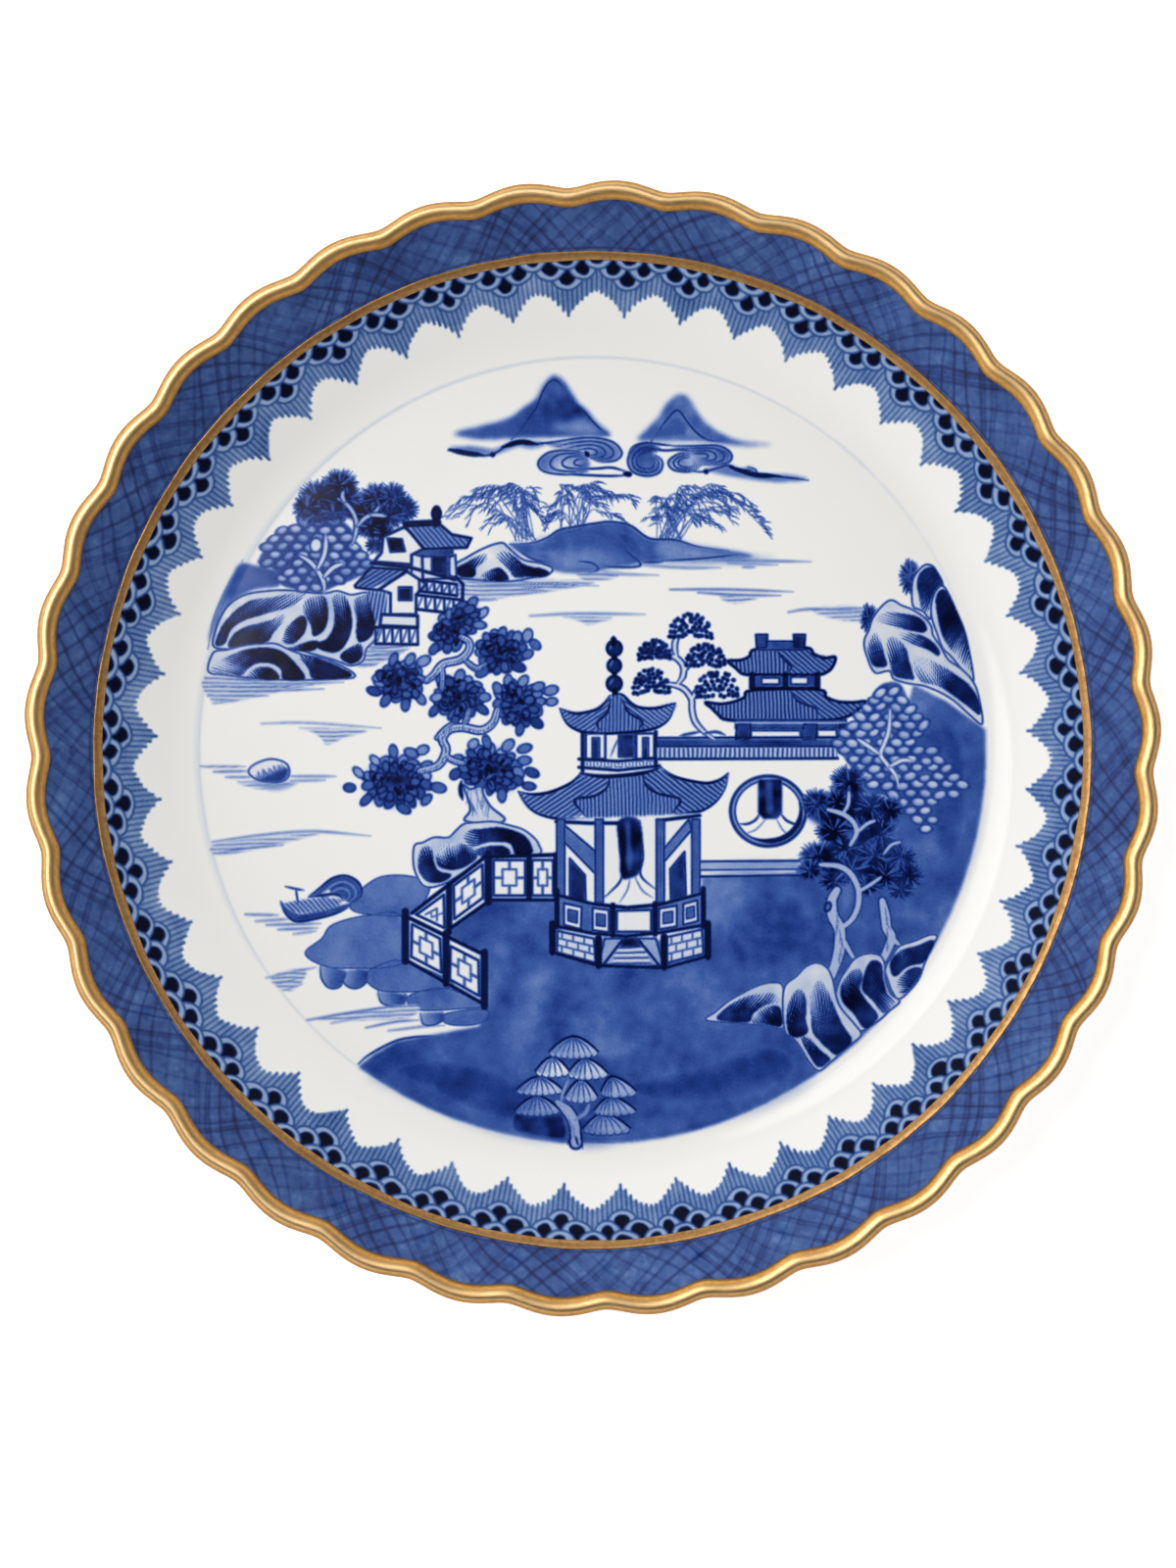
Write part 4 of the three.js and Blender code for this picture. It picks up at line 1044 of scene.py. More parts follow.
strokes(([(22.2, -8.3), (21.7, -9.2), (20.6, -9.8), (19.4, -9.8)],
         [(25, -8.5), (25.8, -9.4), (27.2, -9.9), (28, -9.6)]), 0.34, 0.78)
strokes(([(23, -9.2), (21.6, -10.6), (20.4, -11)], [(24.4, -9.2), (25.4, -10.8), (26.6, -11.2)]), 0.22, 0.5)
wash([(14.4, -14.9), (27.4, -14.7), (27.2, -15.8), (14.4, -15.9)], 0.3, soft=0.15, bent=False)
ruled([(14.4, -14.8), (27.4, -14.7)], 0.36, 0.78)
ruled([(14.4, -15.9), (27.2, -15.8)], 0.3, 0.74)
ruled([(14.4, -16.8), (28, -16.6)], 0.4, 0.8)

fork = (
    [(16.2, 1.4), (14.8, 2.4), (13.6, 3.8), (13.2, 5.4), (13.1, 6.8), (12, 8.2), (10.2, 8.7), (8.6, 8.6)],
    [(11.2, 8.6), (12, 9.8), (12, 11.2), (11, 12.3), (9.6, 12.6)], [(12.1, 10.4), (12.8, 11.5), (14, 12.2)],
    [(11.2, 12.2), (10.9, 13.8), (11.4, 15.4), (12.6, 16)], [(13.1, 6.6), (14, 7.9), (15.4, 8.5)],
)
strokes(fork, 0.95, 0.8)
strokes(fork, 0.42, 0.1, cover=True)
strokes(([(14.2, 2.4), (12.6, 2.1), (11.6, 1.9)], [(14.8, 2.2), (16.4, 2.4), (17.6, 2)]), 0.4, 0.7)
heads = ((13, 16.6, 2.7, 1.7), (8.2, 13.4, 2, 1.4), (15, 12.6, 2.5, 1.7), (7.8, 9.2, 2.3, 1.8),
         (16.5, 8.8, 2.7, 2))
for head_x, head_y, wide, tall in heads:
    for share, dots in ((0.2, 4), (0.4, 6), (0.6, 9), (0.8, 12), (1.0, 14)):
        for turn in np.linspace(-8, 188, dots):
            turn = math.radians(turn + luck.normal() * 4)
            x = head_x + wide * share * math.cos(turn) + luck.normal() * 0.06
            y = head_y - 0.7 * tall + 1.5 * tall * share * math.sin(turn) + luck.normal() * 0.06
            oval(x, y, luck.uniform(0, 180), 0.7, 0.6, luck.uniform(0.78, 0.92), 0.8, rim=0.1)

# Right bank: rocks and trees
# Tall rocks lean in from the edge of the well, shaded with hairs that leave the veins white; below
# them another pebble tree and two pines with white branches stand against the blue ground.
for tuft in ((42.1, 23, 2.7, 4.4), (36.7, 17.4, 2.3, 3.8)):
    needles(*tuft, depth=0.92)
upper_rocks = (
    ([(42.5, 19.2), (42.4, 21.7), (42.8, 23.2), (44, 24.5), (45, 24.5), (45.7, 23.7), (46.5, 21.9),
      (45.5, 21), (45, 19.7), (44.8, 17.4), (44, 18.3), (43.2, 18.7)],
     ([(43.1, 22.2), (43.7, 23.7), (45, 24.3), (45.7, 23.6), (46.4, 22), (45.5, 21.1), (45, 20),
       (44.4, 18.4), (43.7, 18.8), (43.4, 20.5)], (44.8, 21.6), (43, 17.6))),
    ([(45, 17.7), (45, 19.5), (45.5, 21), (46.3, 21.8), (47, 21.2), (48, 19), (49.3, 16), (50, 13),
      (50.5, 10), (50.4, 9.2), (49, 10.7), (47.5, 12.5), (46.5, 13.5), (45.7, 15.5)],
     ([(45.6, 20), (46.2, 21.2), (47.1, 21), (48.2, 18.7), (49.4, 15.7), (49.9, 13.2), (50.2, 10.4),
       (49, 11.7), (47.5, 13.5), (46.5, 15.2), (45.9, 17.5)], (48.4, 16.6), (46.4, 12.2))),
    ([(36.1, 14.7), (36.7, 16), (37.2, 17.5), (38.5, 19.2), (39.7, 19.9), (41, 19.2), (42.5, 18.6),
      (44, 17.6), (44.9, 16.5), (45.2, 15.2), (46.2, 13.7), (47.2, 12), (49, 10.7), (50.4, 9.2),
      (51.2, 7.2), (51.7, 3.5), (50, 4.7), (48, 6.5), (46, 7.7), (44, 8.5), (42.7, 8.7), (41.2, 9),
      (39.9, 9.5), (39.4, 10.5), (37.7, 10.2), (37, 10.9), (36.5, 12.2), (36.1, 13.5)],
     ([(37.7, 17.2), (38.7, 18.2), (41.5, 18), (43.2, 17.6), (44.2, 16.6), (44.1, 15.7), (42.2, 15.9),
       (40.2, 16.4)], (43.6, 16.2), (38.4, 17.8)),
     ([(40.7, 15.6), (42.5, 15.4), (44, 15), (45.2, 14.2), (46, 13.2), (45.9, 12.5), (44.5, 13.4),
       (42.5, 14.1), (41.2, 14.7)], (45.6, 13.2), (41, 15.2)),
     ([(36.5, 13.5), (37, 14.7), (37.5, 15.5), (38.1, 14.5), (38.7, 12.5), (39, 11.2), (37.7, 11.1),
       (37, 11.7)], (38.2, 11.4), (37.4, 15.6)),
     ([(39.1, 14.2), (40, 15), (41.5, 13.5), (41.9, 12), (42.5, 10), (42.6, 9.4), (41, 9.6), (40, 10),
       (39.5, 11.7)], (41.2, 9.8), (39.8, 15.4)),
     ([(42.5, 12), (44, 12.2), (46.5, 11), (48.5, 9.7), (50, 8.5), (51.2, 6.5), (51.4, 4.7), (50, 5.7),
       (48, 7.2), (46, 8.5), (44, 9), (43.2, 9.7)], (48.4, 6.8), (45.4, 12.4))),
)
for outline, *hollows in upper_rocks:
    rock(outline, hollows, pale=0.12, dark=0.84, solid=0.5)

pebble_tree = [(38.2, 8.6), (40.6, 8.9), (41.8, 7), (42.6, 5.4), (44.4, 4), (44, 0.8), (45.8, -0.4),
               (48, -2.6), (49.4, -4.2), (48, -5.9), (46.2, -7), (45.6, -9.6), (44.2, -11), (42, -9.4),
               (40.6, -7), (38.6, -6), (36, -5.8), (34.8, -3.2), (33, -0.6), (32, 0.4), (33, 2.4),
               (35, 4), (36.4, 6.2)]
pebbles(pebble_tree, long=2.1, wide=1.32, ground=0.58, pale=0.16)
tree_limbs = (
    [(39.5, 5.4), (39.3, 2.6), (38.7, 0.8), (38.2, -0.6), (39, -1.8), (40.2, -3.4), (40.6, -5)],
    [(35.2, 1.4), (36.6, 0.5), (38.1, -0.6)], [(39.4, -2.2), (41, -1.4), (42.4, -1.4)],
)
for limb in tree_limbs:
    bare_limb(limb, 0.85, 0.68, 0.42, 0.12)

crown = [(32.6, -1.8), (35.2, -2.6), (36.4, -4.9), (40.6, -6.4), (41.4, -8.8), (39, -11), (43, -14),
         (43.4, -17.4), (41.4, -19.8), (37.4, -18.8), (35.2, -18), (31.4, -18), (28, -16), (27.2, -13.4),
         (30.6, -12.6), (29.8, -10.2), (27.6, -8.4), (28, -5.6), (30.2, -5.2), (31.8, -4)]
wash(pulled(crown, np.mean(crown, 0), 0.84), 0.83, soft=0.4, mottle=0.1)
tufts = (
    (34, -4.4, 4.8, 4.4), (29.8, -7.2, 4.4, 4), (32.6, -7, 4, 3.6), (37, -7.6, 5, 4), (39.4, -8, 4, 3.4),
    (32, -10.8, 4.6, 3.8), (35.6, -10.6, 4.6, 3.6), (38.2, -11.2, 4.6, 4), (33.6, -13.2, 4.6, 3.4),
    (30, -14.2, 5, 4), (34.2, -16, 4.8, 3.8), (37.4, -14, 4.6, 3.6), (40.8, -14.2, 4.4, 3.6),
    (42, -16.6, 4, 3.6), (38.8, -16.8, 4.6, 3.6), (28.8, -16, 3.6, 3), (32, -17.4, 4, 3),
    (40.8, -18.6, 3.8, 3), (36.4, -18, 4, 3),
)
for tuft in tufts:
    needles(*tuft)
pine_limbs = (
    ([(31.2, -7.9), (33.2, -8.5), (34.6, -9.6), (35, -11), (34.2, -12.6)], 0.75),
    ([(33.2, -8.4), (33.9, -7.2), (34, -5.6)], 0.6),
    ([(30.2, -15.2), (32.6, -15.4), (34.2, -16.4), (35.2, -18.4), (35.2, -20.6), (34.4, -22.4),
      (33, -23.6)], 0.85),
    ([(35.2, -18.8), (36.6, -18), (38.2, -16.9)], 0.6), ([(35, -11), (36.4, -9.8), (37.4, -9.4)], 0.6),
    ([(38.6, -13.8), (39.6, -12.6), (40.8, -12.2)], 0.55),
    ([(32.4, -18.6), (31.7, -20), (31.9, -22), (32.7, -23.6), (32.8, -25.4), (32.5, -27.4), (31.6, -30)],
     1.5),
    ([(38.4, -20), (38.8, -22), (39, -23.6), (39.6, -25), (38.6, -27.6)], 1.3),
    ([(33.2, -25), (34, -26.6), (34.6, -27.6)], 0.7),
    ([(39.4, -24.6), (40.6, -25.8)], 0.7),
)
for limb, width in pine_limbs:
    stroke(limb, width + 0.36, 0.84, taper=(0.8, 0.8))
for limb, width in pine_limbs:
    stroke(limb, width - 0.16, 0.24, cover=True, taper=(0.7, 0.8))
hairs([(32.4, -20), (32.4, -22.6), (33, -25), (32.6, -27.6)], -80, 1.5, 0.7, 0.7)
hairs([(38.8, -21), (39, -23.6), (39, -26)], -86, 1.3, 0.7, 0.7)
hairs([(31.2, -19.6), (31, -21.6), (31.6, -24), (31.6, -27)], 182, 0.5, 0.34, 0.8)
oval(31.2, -20.8, 70, 1.5, 1, 0.5, 0.86)

lower_rocks = (
    ([(38.8, -29), (39.7, -27.3), (40.7, -26), (42.7, -25.3), (44.7, -24.5), (45.7, -24.7), (45, -26),
      (44, -28.3), (43, -30.7), (40.7, -33), (39.7, -32), (39.2, -30.7)],
     ([(39.5, -28.3), (40.7, -26.7), (43, -26), (45, -25.2), (45.2, -25.8), (44, -28), (43.3, -28.3),
       (41.7, -28.7), (40, -30)], (42.6, -27.4), (41.4, -24.4)),
     ([(40.3, -31), (41.7, -29.3), (43.3, -28.8), (43.5, -29.5), (42.3, -31.3), (41, -32.3)],
      (42.6, -30.4), (40.4, -30))),
    ([(15, -35.8), (16.3, -34.7), (18, -33.3), (19.7, -32.3), (22, -31.2), (24, -30.8), (25.2, -31.3),
      (25.2, -34), (25.3, -36.8), (22.7, -36.5), (19, -36.2)],
     ([(16.5, -35.5), (18.3, -33.8), (20.7, -32.7), (23.7, -32.3), (24.7, -33.3), (22.7, -33.8),
       (21.2, -35), (20.7, -36), (18.3, -36)], (18.8, -36), (22.2, -31.6)),
     ([(21.2, -36), (22, -34.8), (23.7, -34), (24.8, -34.2), (25, -36.5), (23, -36.3)],
      (24.2, -36.4), (22.4, -33.6))),
    ([(32.2, -32.7), (32.7, -30.7), (33.7, -29), (34.7, -27.7), (36.3, -27), (38, -27.2), (38.7, -28.3),
      (38.8, -30.3), (39.5, -32.3), (40.7, -33.3), (39.3, -34.6), (38, -35.8), (36, -37.1), (35.3, -37.1),
      (34, -35.7), (32.7, -34.3)],
     ([(33, -31.3), (34, -29.7), (35.3, -29), (35.7, -30.3), (35.3, -31.7), (36.3, -33.3), (37.7, -35),
       (37.4, -36), (36, -36.8), (34.7, -35), (33.2, -33.3)], (34.8, -33), (34.6, -28.2)),
     ([(36.2, -29.3), (37, -28), (38.2, -28.3), (38.5, -30.3), (39, -32.3), (40, -33.5), (38.9, -34.8),
       (38.2, -34.6), (37, -33), (35.8, -31.7)], (37.2, -30.5), (40.4, -34))),
    ([(25.5, -37.3), (25.2, -34), (25.5, -31.3), (27, -30), (28.3, -28.7), (29.7, -28.2), (31, -28.8),
      (31.8, -30.3), (32.3, -32.7), (33, -34.3), (34.7, -36.3), (35.6, -37.7), (34.4, -38.9),
      (33.2, -39.9), (31.6, -41.3), (30, -42.5), (28.7, -41.3), (27.3, -39), (26.3, -38)],
     ([(25.8, -36.3), (26, -33.7), (27.3, -31.7), (28.2, -33), (28.2, -35.7), (28.5, -37.3), (27.3, -38),
       (26.2, -37.7)], (27.4, -36.6), (26.9, -30.8)),
     ([(29, -35), (28.9, -32.4), (30.2, -30.6), (31.6, -33.2), (33, -36.3), (34.3, -38.3), (33.8, -39.2),
       (32.5, -40.3), (31.7, -40), (30.3, -38.7), (29.2, -37.3)], (31.6, -38.4), (30.2, -30.4)),
     ([(27.7, -38.3), (28.7, -38.3), (30, -39.7), (31.4, -40.8), (31.3, -41.2), (30.2, -42),
       (29.3, -41.3)], (29.8, -41), (27.6, -36.8))),
)
for outline, *hollows in lower_rocks:
    rock(outline, hollows, pale=0.16, dark=0.88, solid=0.66)


# Umbrella tree at the foot of the well
# Each fan is a pale dome of petals with dark ribs, heaped over a short trunk on the darkest ground.
def fan(x, y, wide, tall, slip, pale):
    half = wide / 2
    petals = round(wide / 0.86)
    brow = []
    hem = []
    for across in np.linspace(-1, 1, 9):
        brow.append((x + half * across + slip * abs(across), y + 0.1 - tall * 0.72 * abs(across) ** 1.7))
    for across in np.linspace(1, -1, petals + 1):
        hem.append((x + half * across * 0.97 + slip * abs(across), y - tall * (0.88 - 0.14 * across**2)))
    wash([(px, py + 0.2) for px, py in brow] + [(px, py - 0.6) for px, py in hem], 0.84, soft=0.35)
    wash(brow + hem[1:-1], 0.5, soft=0.12, cover=True, bent=False, far=(x, y - tall, pale))
    for (ax, ay), (bx, by) in zip(hem, hem[1:]):
        low = tall * 0.17
        lobe = [(ax, ay), (ax + 0.18 * (bx - ax), ay - low * 0.8),
                (bx - 0.18 * (bx - ax), by - low * 0.8), (bx, by)]
        wash([(0.5 * (ax + bx), ay + 0.3)] + lobe, pale + 0.04, soft=0.1, cover=True)
        stroke(lobe, 0.24, 0.86)
    for px, py in hem[1:-1]:
        stroke([(x, y), (x + 0.62 * (px - x), y - tall * 0.36), (px, py)], 0.2, 0.84)
    stroke(brow, 0.4, 0.92, taper=(0.8, 0.8))


wash([(-6, -40), (-2.6, -37.4), (2, -40), (6.4, -44.4), (6.8, -48), (4, -51), (-1, -52), (-4, -50),
      (-10.6, -47.6), (-10.6, -45)], 0.68, soft=0.9)
wash([(-10, -47.8), (-4.6, -47.6), (-3.4, -49.4), (-3.6, -51.6), (-7, -51.4), (-10.6, -50.4)],
     0.82, soft=0.35)
lowest_fans = ((1.4, -48.2, 6.4, 2.8, 0.5, 0.36), (2.4, -46, 5.6, 2.5, 0.6, 0.3),
               (-7.3, -45.9, 6, 2.6, 0, 0.34))
for shape in lowest_fans:
    fan(*shape)
trunk = [(-4.7, -46.6), (-3.3, -47.8), (-2.5, -49.2), (-2.2, -51), (-2.2, -52)]
bare_limb(trunk, 1.8, 0.86, 1.2, 0.3, taper=(0.5, 1.1))
strokes(([(-3.2, -48.4), (-2.8, -50), (-3, -52.2)], [(-2.5, -49.6), (-2.4, -51.6)]), 0.18, 0.66)
stroke([(-2.3, -49), (-0.9, -48), (-0.4, -46.8)], 0.5, 0.4, cover=True)
upper_fans = (
    (2.5, -43.3, 4.8, 2.8, 1, 0.26), (-7, -43.3, 6.2, 2.5, 0, 0.22), (-1.5, -43.7, 4.4, 3.1, 0, 0.24),
    (-1, -40.9, 5.4, 2.8, 0.4, 0.14), (-5.3, -40.7, 4.6, 2.7, 0, 0.06), (-2.5, -38, 6.6, 2.9, 0, 0.22),
)
for shape in upper_fans:
    fan(*shape)
strokes(([(-1.6, -50), (-1.3, -52.8)], [(-2.8, -51.2), (-3.3, -52.2)], [(-2.2, -51.2), (-1.9, -52.4)]),
        0.34, 0.86)
stroke([(-3.2, -43.8), (-3.9, -45.4), (-4.2, -46.8)], 0.34, 0.34, cover=True)

# The finest brush was loaded with the strongest blue, so the darkest lines gain most in the kiln
LINE_TONE = 0.74
LINE_GAIN = 1.6
strong = LINE_TONE + LINE_GAIN * (tone - LINE_TONE)
tone = np.clip(np.where(tone > LINE_TONE, strong, tone), 0, 1).astype(np.float32)

# Porcelain body
# One piece of white porcelain, turned over a mould, its flange pressed into lobes by hand, painted,
# dipped in clear glaze and fired; only the standing face of the foot ring is wiped bare.
MM = 0.001
FACE_STEP = 0.16
WELL_RADIUS = 52.0
WELL_LEVEL = 7.2
UNDER_LEVEL = 3.6
SWEEP = 12.0
WALL_SLOPE = math.radians(25)
WALL_THICK = 2.9
FLANGE_SLOPE = math.radians(42)
BEND_TURN = 0.585
LIP_HALF = 0.65
LIP_OUT = 0.3
BEAD_MIDDLE = 73.175
BEAD_RADIUS = 1.325
LOBES = 37
LOBE_DEPTH = 1.0
LOBE_SOFT = 0.35
FOOT_RING = (
    (50.0, 4.05), (47.3, 3.62), (46.2, 3.0), (45.6, 1.4), (45.45, 0.6), (45.3, 0.2), (45.0, 0.02),
    (44.6, 0.0), (43.2, 0.0), (42.8, 0.02), (42.5, 0.2), (42.35, 0.6), (42.2, 1.4), (41.6, 3.0),
    (40.4, 3.58),
)
EYE_FAR = 800.0
FACE_MAP = 0.475
FACE_MAP_MIDDLE = (0.48, 0.52)
UNDER_MAP = 0.1
UNDER_MAP_MIDDLE = (0.89, 0.11)
UNDER_MAP_EDGE = 0.1008
BORDER_GREY = (0.83, 0.89, 0.74, 1)
BISCUIT = (0.62, 0.54, 0.44, 1)


def face_height(radius):
    sweep_end = SWEEP * math.sin(WALL_SLOPE)
    swept = SWEEP - np.sqrt(SWEEP**2 - np.clip(radius - WELL_RADIUS, 0, sweep_end) ** 2)
    wall_wide = BAND_OUT - WELL_RADIUS - sweep_end
    wall = np.clip(radius - WELL_RADIUS - sweep_end, 0, wall_wide) * math.tan(WALL_SLOPE)
    flange = np.clip(radius - BAND_OUT, 0, None) * math.tan(FLANGE_SLOPE)
    return WELL_LEVEL + swept + wall + flange


BEAD_LEVEL = float(face_height(BEAD_MIDDLE)) - LIP_HALF / math.cos(FLANGE_SLOPE)


# The lobes grow from the gilt line to the bead, and their spacing wanders as it does by hand
def lobed(turn, radius):
    wave = np.sqrt(np.sin(LOBES * turn / 2) ** 2 + LOBE_SOFT**2) - LOBE_SOFT
    wave = wave / (math.sqrt(1 + LOBE_SOFT**2) - LOBE_SOFT) - 0.5
    share = np.clip((radius - BAND_OUT) / (BEAD_MIDDLE - 1.2 * BEAD_RADIUS - BAND_OUT), 0, 1)
    pressed = radius + share**2 * (3 - 2 * share) * LOBE_DEPTH * wave
    drift = 6.6 + 0.33 * np.cos(turn) - 2.06 * np.sin(turn)
    drift = drift - 0.39 * np.cos(2 * turn) - 0.9 * np.sin(2 * turn)
    place = turn + np.radians(drift)
    return pressed * np.cos(place), pressed * np.sin(place)


def from_bead(along, square):
    radius = BEAD_MIDDLE + along * math.cos(FLANGE_SLOPE) - square * math.sin(FLANGE_SLOPE)
    return radius, BEAD_LEVEL + along * math.sin(FLANGE_SLOPE) + square * math.cos(FLANGE_SLOPE)


def new_object(name, data):
    made = bpy.data.objects.new(name, data)
    bpy.context.collection.objects.link(made)
    return made


def new_piece(name, spots, corners, sides):
    mesh = bpy.data.meshes.new(name)
    mesh.vertices.add(len(spots))
    mesh.vertices.foreach_set("co", (np.asarray(spots) * MM).astype(np.float32).ravel())
    mesh.loops.add(len(corners))
    mesh.loops.foreach_set("vertex_index", corners.astype(np.int32))
    mesh.polygons.add(len(sides))
    first_corners = np.concatenate([[0], np.cumsum(sides)[:-1]])
    mesh.polygons.foreach_set("loop_start", first_corners.astype(np.int32))
    mesh.polygons.foreach_set("use_smooth", np.ones(len(sides), bool))
    mesh.update(calc_edges=True)
    mesh.validate()
    return new_object(name, mesh)


# Face: ring i of the disc has 6 i points, so that the triangles stay even from middle to rim
lip_radius = from_bead(LIP_OUT, LIP_HALF)[0]
rings = math.ceil(lip_radius / FACE_STEP)
ring_turns = [np.arange(6 * i) * 2 * math.pi / (6 * i) for i in range(1, rings + 1)]
ring_radii = [np.full(6 * i, lip_radius * i / rings) for i in range(1, rings + 1)]
turns = np.concatenate([[0.0]] + ring_turns)
radii = np.concatenate([[0.0]] + ring_radii)
face_x, face_y = lobed(turns, radii)
face_z = face_height(radii)
spots = [np.column_stack([face_x, face_y, face_z])]
triangles = []
sector = np.arange(6)[:, None]
for i in range(rings):
    inner = 1 + 3 * i * (i - 1) if i else 0
    outer = 1 + 3 * i * (i + 1)
    out_step = np.arange(i + 1)[None, :]
    a = outer + (sector * (i + 1) + out_step) % (6 * (i + 1))
    b = outer + (sector * (i + 1) + out_step + 1) % (6 * (i + 1))
    c = inner + (sector * i + out_step) % max(6 * i, 1)
    triangles.append(np.stack([a, b, c], -1).ravel())
    if i:
        in_step = np.arange(i)[None, :]
        a = inner + (sector * i + in_step) % (6 * i)
        b = outer + (sector * (i + 1) + in_step + 1) % (6 * (i + 1))
        c = inner + (sector * i + in_step + 1) % (6 * i)
        triangles.append(np.stack([a, b, c], -1).ravel())
face_corners = np.concatenate(triangles)
face_count = len(radii)

# Underside: the same columns run round the lip, under the wall and over the foot ring to the middle
wall_foot = WELL_RADIUS + SWEEP * math.sin(WALL_SLOPE)
under = [from_bead(0.42, 0.2), from_bead(0.42, -0.3), from_bead(LIP_OUT, -LIP_HALF)]
under.append(from_bead(-1.5 * BEAD_RADIUS, -LIP_HALF))
for radius, tilt in ((BAND_OUT, BEND_TURN), (wall_foot, WALL_SLOPE)):
    level = float(face_height(radius)) - WALL_THICK * math.cos(tilt)
    under.append((radius + WALL_THICK * math.sin(tilt), level))
under += FOOT_RING
under += [(radius, UNDER_LEVEL) for radius in (38.0, 30.0, 20.0, 10.0, 4.0)]
columns = 6 * rings
edge_turns = turns[-columns:]
for radius, level in under:
    x, y = lobed(edge_turns, np.full(columns, radius))
    spots.append(np.column_stack([x, y, np.full(columns, level)]))
spots.append([[0.0, 0.0, UNDER_LEVEL]])
spots = np.vstack(spots)
row_start = np.array([face_count - columns] + [face_count + k * columns for k in range(len(under))])
here = np.arange(columns)
after = (here + 1) % columns
quads = []
for low, high in zip(row_start, row_start[1:]):
    quads.append(np.stack([low + here, high + here, high + after, low + after], -1))
last = row_start[-1]
close = np.stack([last + here, np.full(columns, len(spots) - 1), last + after], -1)
corners = np.concatenate([face_corners, np.concatenate(quads).ravel(), close.ravel()])
sides = np.repeat([3, 4, 3], [len(face_corners) // 3, columns * len(under), columns])
body = new_piece("porcelain_body_visual", spots, corners, sides)

# The painting lies on the curved face, so a point is looked up where the eye above sees it
seen = 1 + (float(face_height(BAND_OUT)) - face_z) / EYE_FAR
col = np.clip((face_x / seen + REACH) / CELL, 0, SIDE - 1.001)
row = np.clip((face_y / seen + REACH) / CELL, 0, SIDE - 1.001)
col_low = col.astype(int)
row_low = row.astype(int)
right = col - col_low
above = row - row_low
lower_row = tone[row_low, col_low] * (1 - right) + tone[row_low, col_low + 1] * right
upper_row = tone[row_low + 1, col_low] * (1 - right) + tone[row_low + 1, col_low + 1] * right
painted = np.zeros(len(spots), np.float32)
painted[:face_count] = lower_row * (1 - above) + upper_row * above
body.data.attributes.new("cobalt", "FLOAT", "POINT").data.foreach_set("value", painted)

# Flat map for the face, and a small one beside it for the underside
run = np.array(under + [(0.0, UNDER_LEVEL)])
length = np.concatenate([np.cumsum(np.hypot(*np.diff(run, axis=0).T)[::-1])[::-1], [0.0]])
under_radius = np.repeat(length[:-1], columns) / length[0] * UNDER_MAP
map_radius = np.concatenate([radii / lip_radius * FACE_MAP, under_radius, [0.0]])
map_turn = np.concatenate([turns, np.tile(edge_turns, len(under)), [0.0]])
map_u = map_radius * np.cos(map_turn)
map_v = map_radius * np.sin(map_turn)
corner_is_under = np.arange(len(corners)) >= len(face_corners)
on_edge = corner_is_under & (corners < face_count)
scale = np.where(on_edge, UNDER_MAP_EDGE / FACE_MAP, 1.0)
uv = np.stack([map_u[corners] * scale, map_v[corners] * scale], -1)
uv += np.where(corner_is_under[:, None], UNDER_MAP_MIDDLE, FACE_MAP_MIDDLE)
body.data.uv_layers.new(name="OFBake").data.foreach_set("uv", uv.astype(np.float32).ravel())


def from_screen(red, green, blue):
    levels = np.array([red, green, blue]) / 255
    return (*np.where(levels < 0.04045, levels / 12.92, ((levels + 0.055) / 1.055) ** 2.4), 1.0)


def new_material(name):
    material = bpy.data.materials.new(name)
    material.use_nodes = True
    tree = material.node_tree
    return material, tree, tree.nodes["Principled BSDF"]


def new_group(name, inputs, outputs):
    group = bpy.data.node_groups.new(name, "ShaderNodeTree")
    for label, kind in inputs:
        group.interface.new_socket(label, in_out="INPUT", socket_type=kind)
    for label, kind in outputs:
        group.interface.new_socket(label, in_out="OUTPUT", socket_type=kind)
    return group, group.nodes.new("NodeGroupInput"), group.nodes.new("NodeGroupOutput")


# Words in lower case set the node itself; words with a capital link or set the socket of that name
def feed(tree, node, **words):
    for word, value in words.items():
        if word[0].islower():
            setattr(node, word, value)
        elif isinstance(value, bpy.types.NodeSocket):
            tree.links.new(value, node.inputs[word.replace("_", " ")])
        else:
            node.inputs[word.replace("_", " ")].default_value = value
    return node


def new_node(tree, kind, **words):
    return feed(tree, tree.nodes.new("ShaderNode" + kind), **words)


def noise(tree, place, **words):
    return new_node(tree, "TexNoise", Vector=place, **words).outputs["Fac"]


def map_range(tree, value, **words):
    return new_node(tree, "MapRange", Value=value, **words).outputs["Result"]


def mix(tree, share, first, second, manner="MIX"):
    node = new_node(tree, "Mix", data_type="RGBA", blend_type=manner, Factor=share, A=first, B=second)
    return node.outputs["Result"]


def math_node(tree, operation, first, second=None, clamp=False):
    node = new_node(tree, "Math", operation=operation, use_clamp=clamp)
    for socket, value in zip(node.inputs, (first, second)):
        if isinstance(value, (int, float)):
            socket.default_value = value
        elif value is not None:
            tree.links.new(value, socket)
    return node.outputs[0]


def from_middle(tree, parts):
    square_x = math_node(tree, "MULTIPLY", parts["X"], parts["X"])
    square_y = math_node(tree, "MULTIPLY", parts["Y"], parts["Y"])
    return math_node(tree, "SQRT", math_node(tree, "ADD", square_x, square_y))


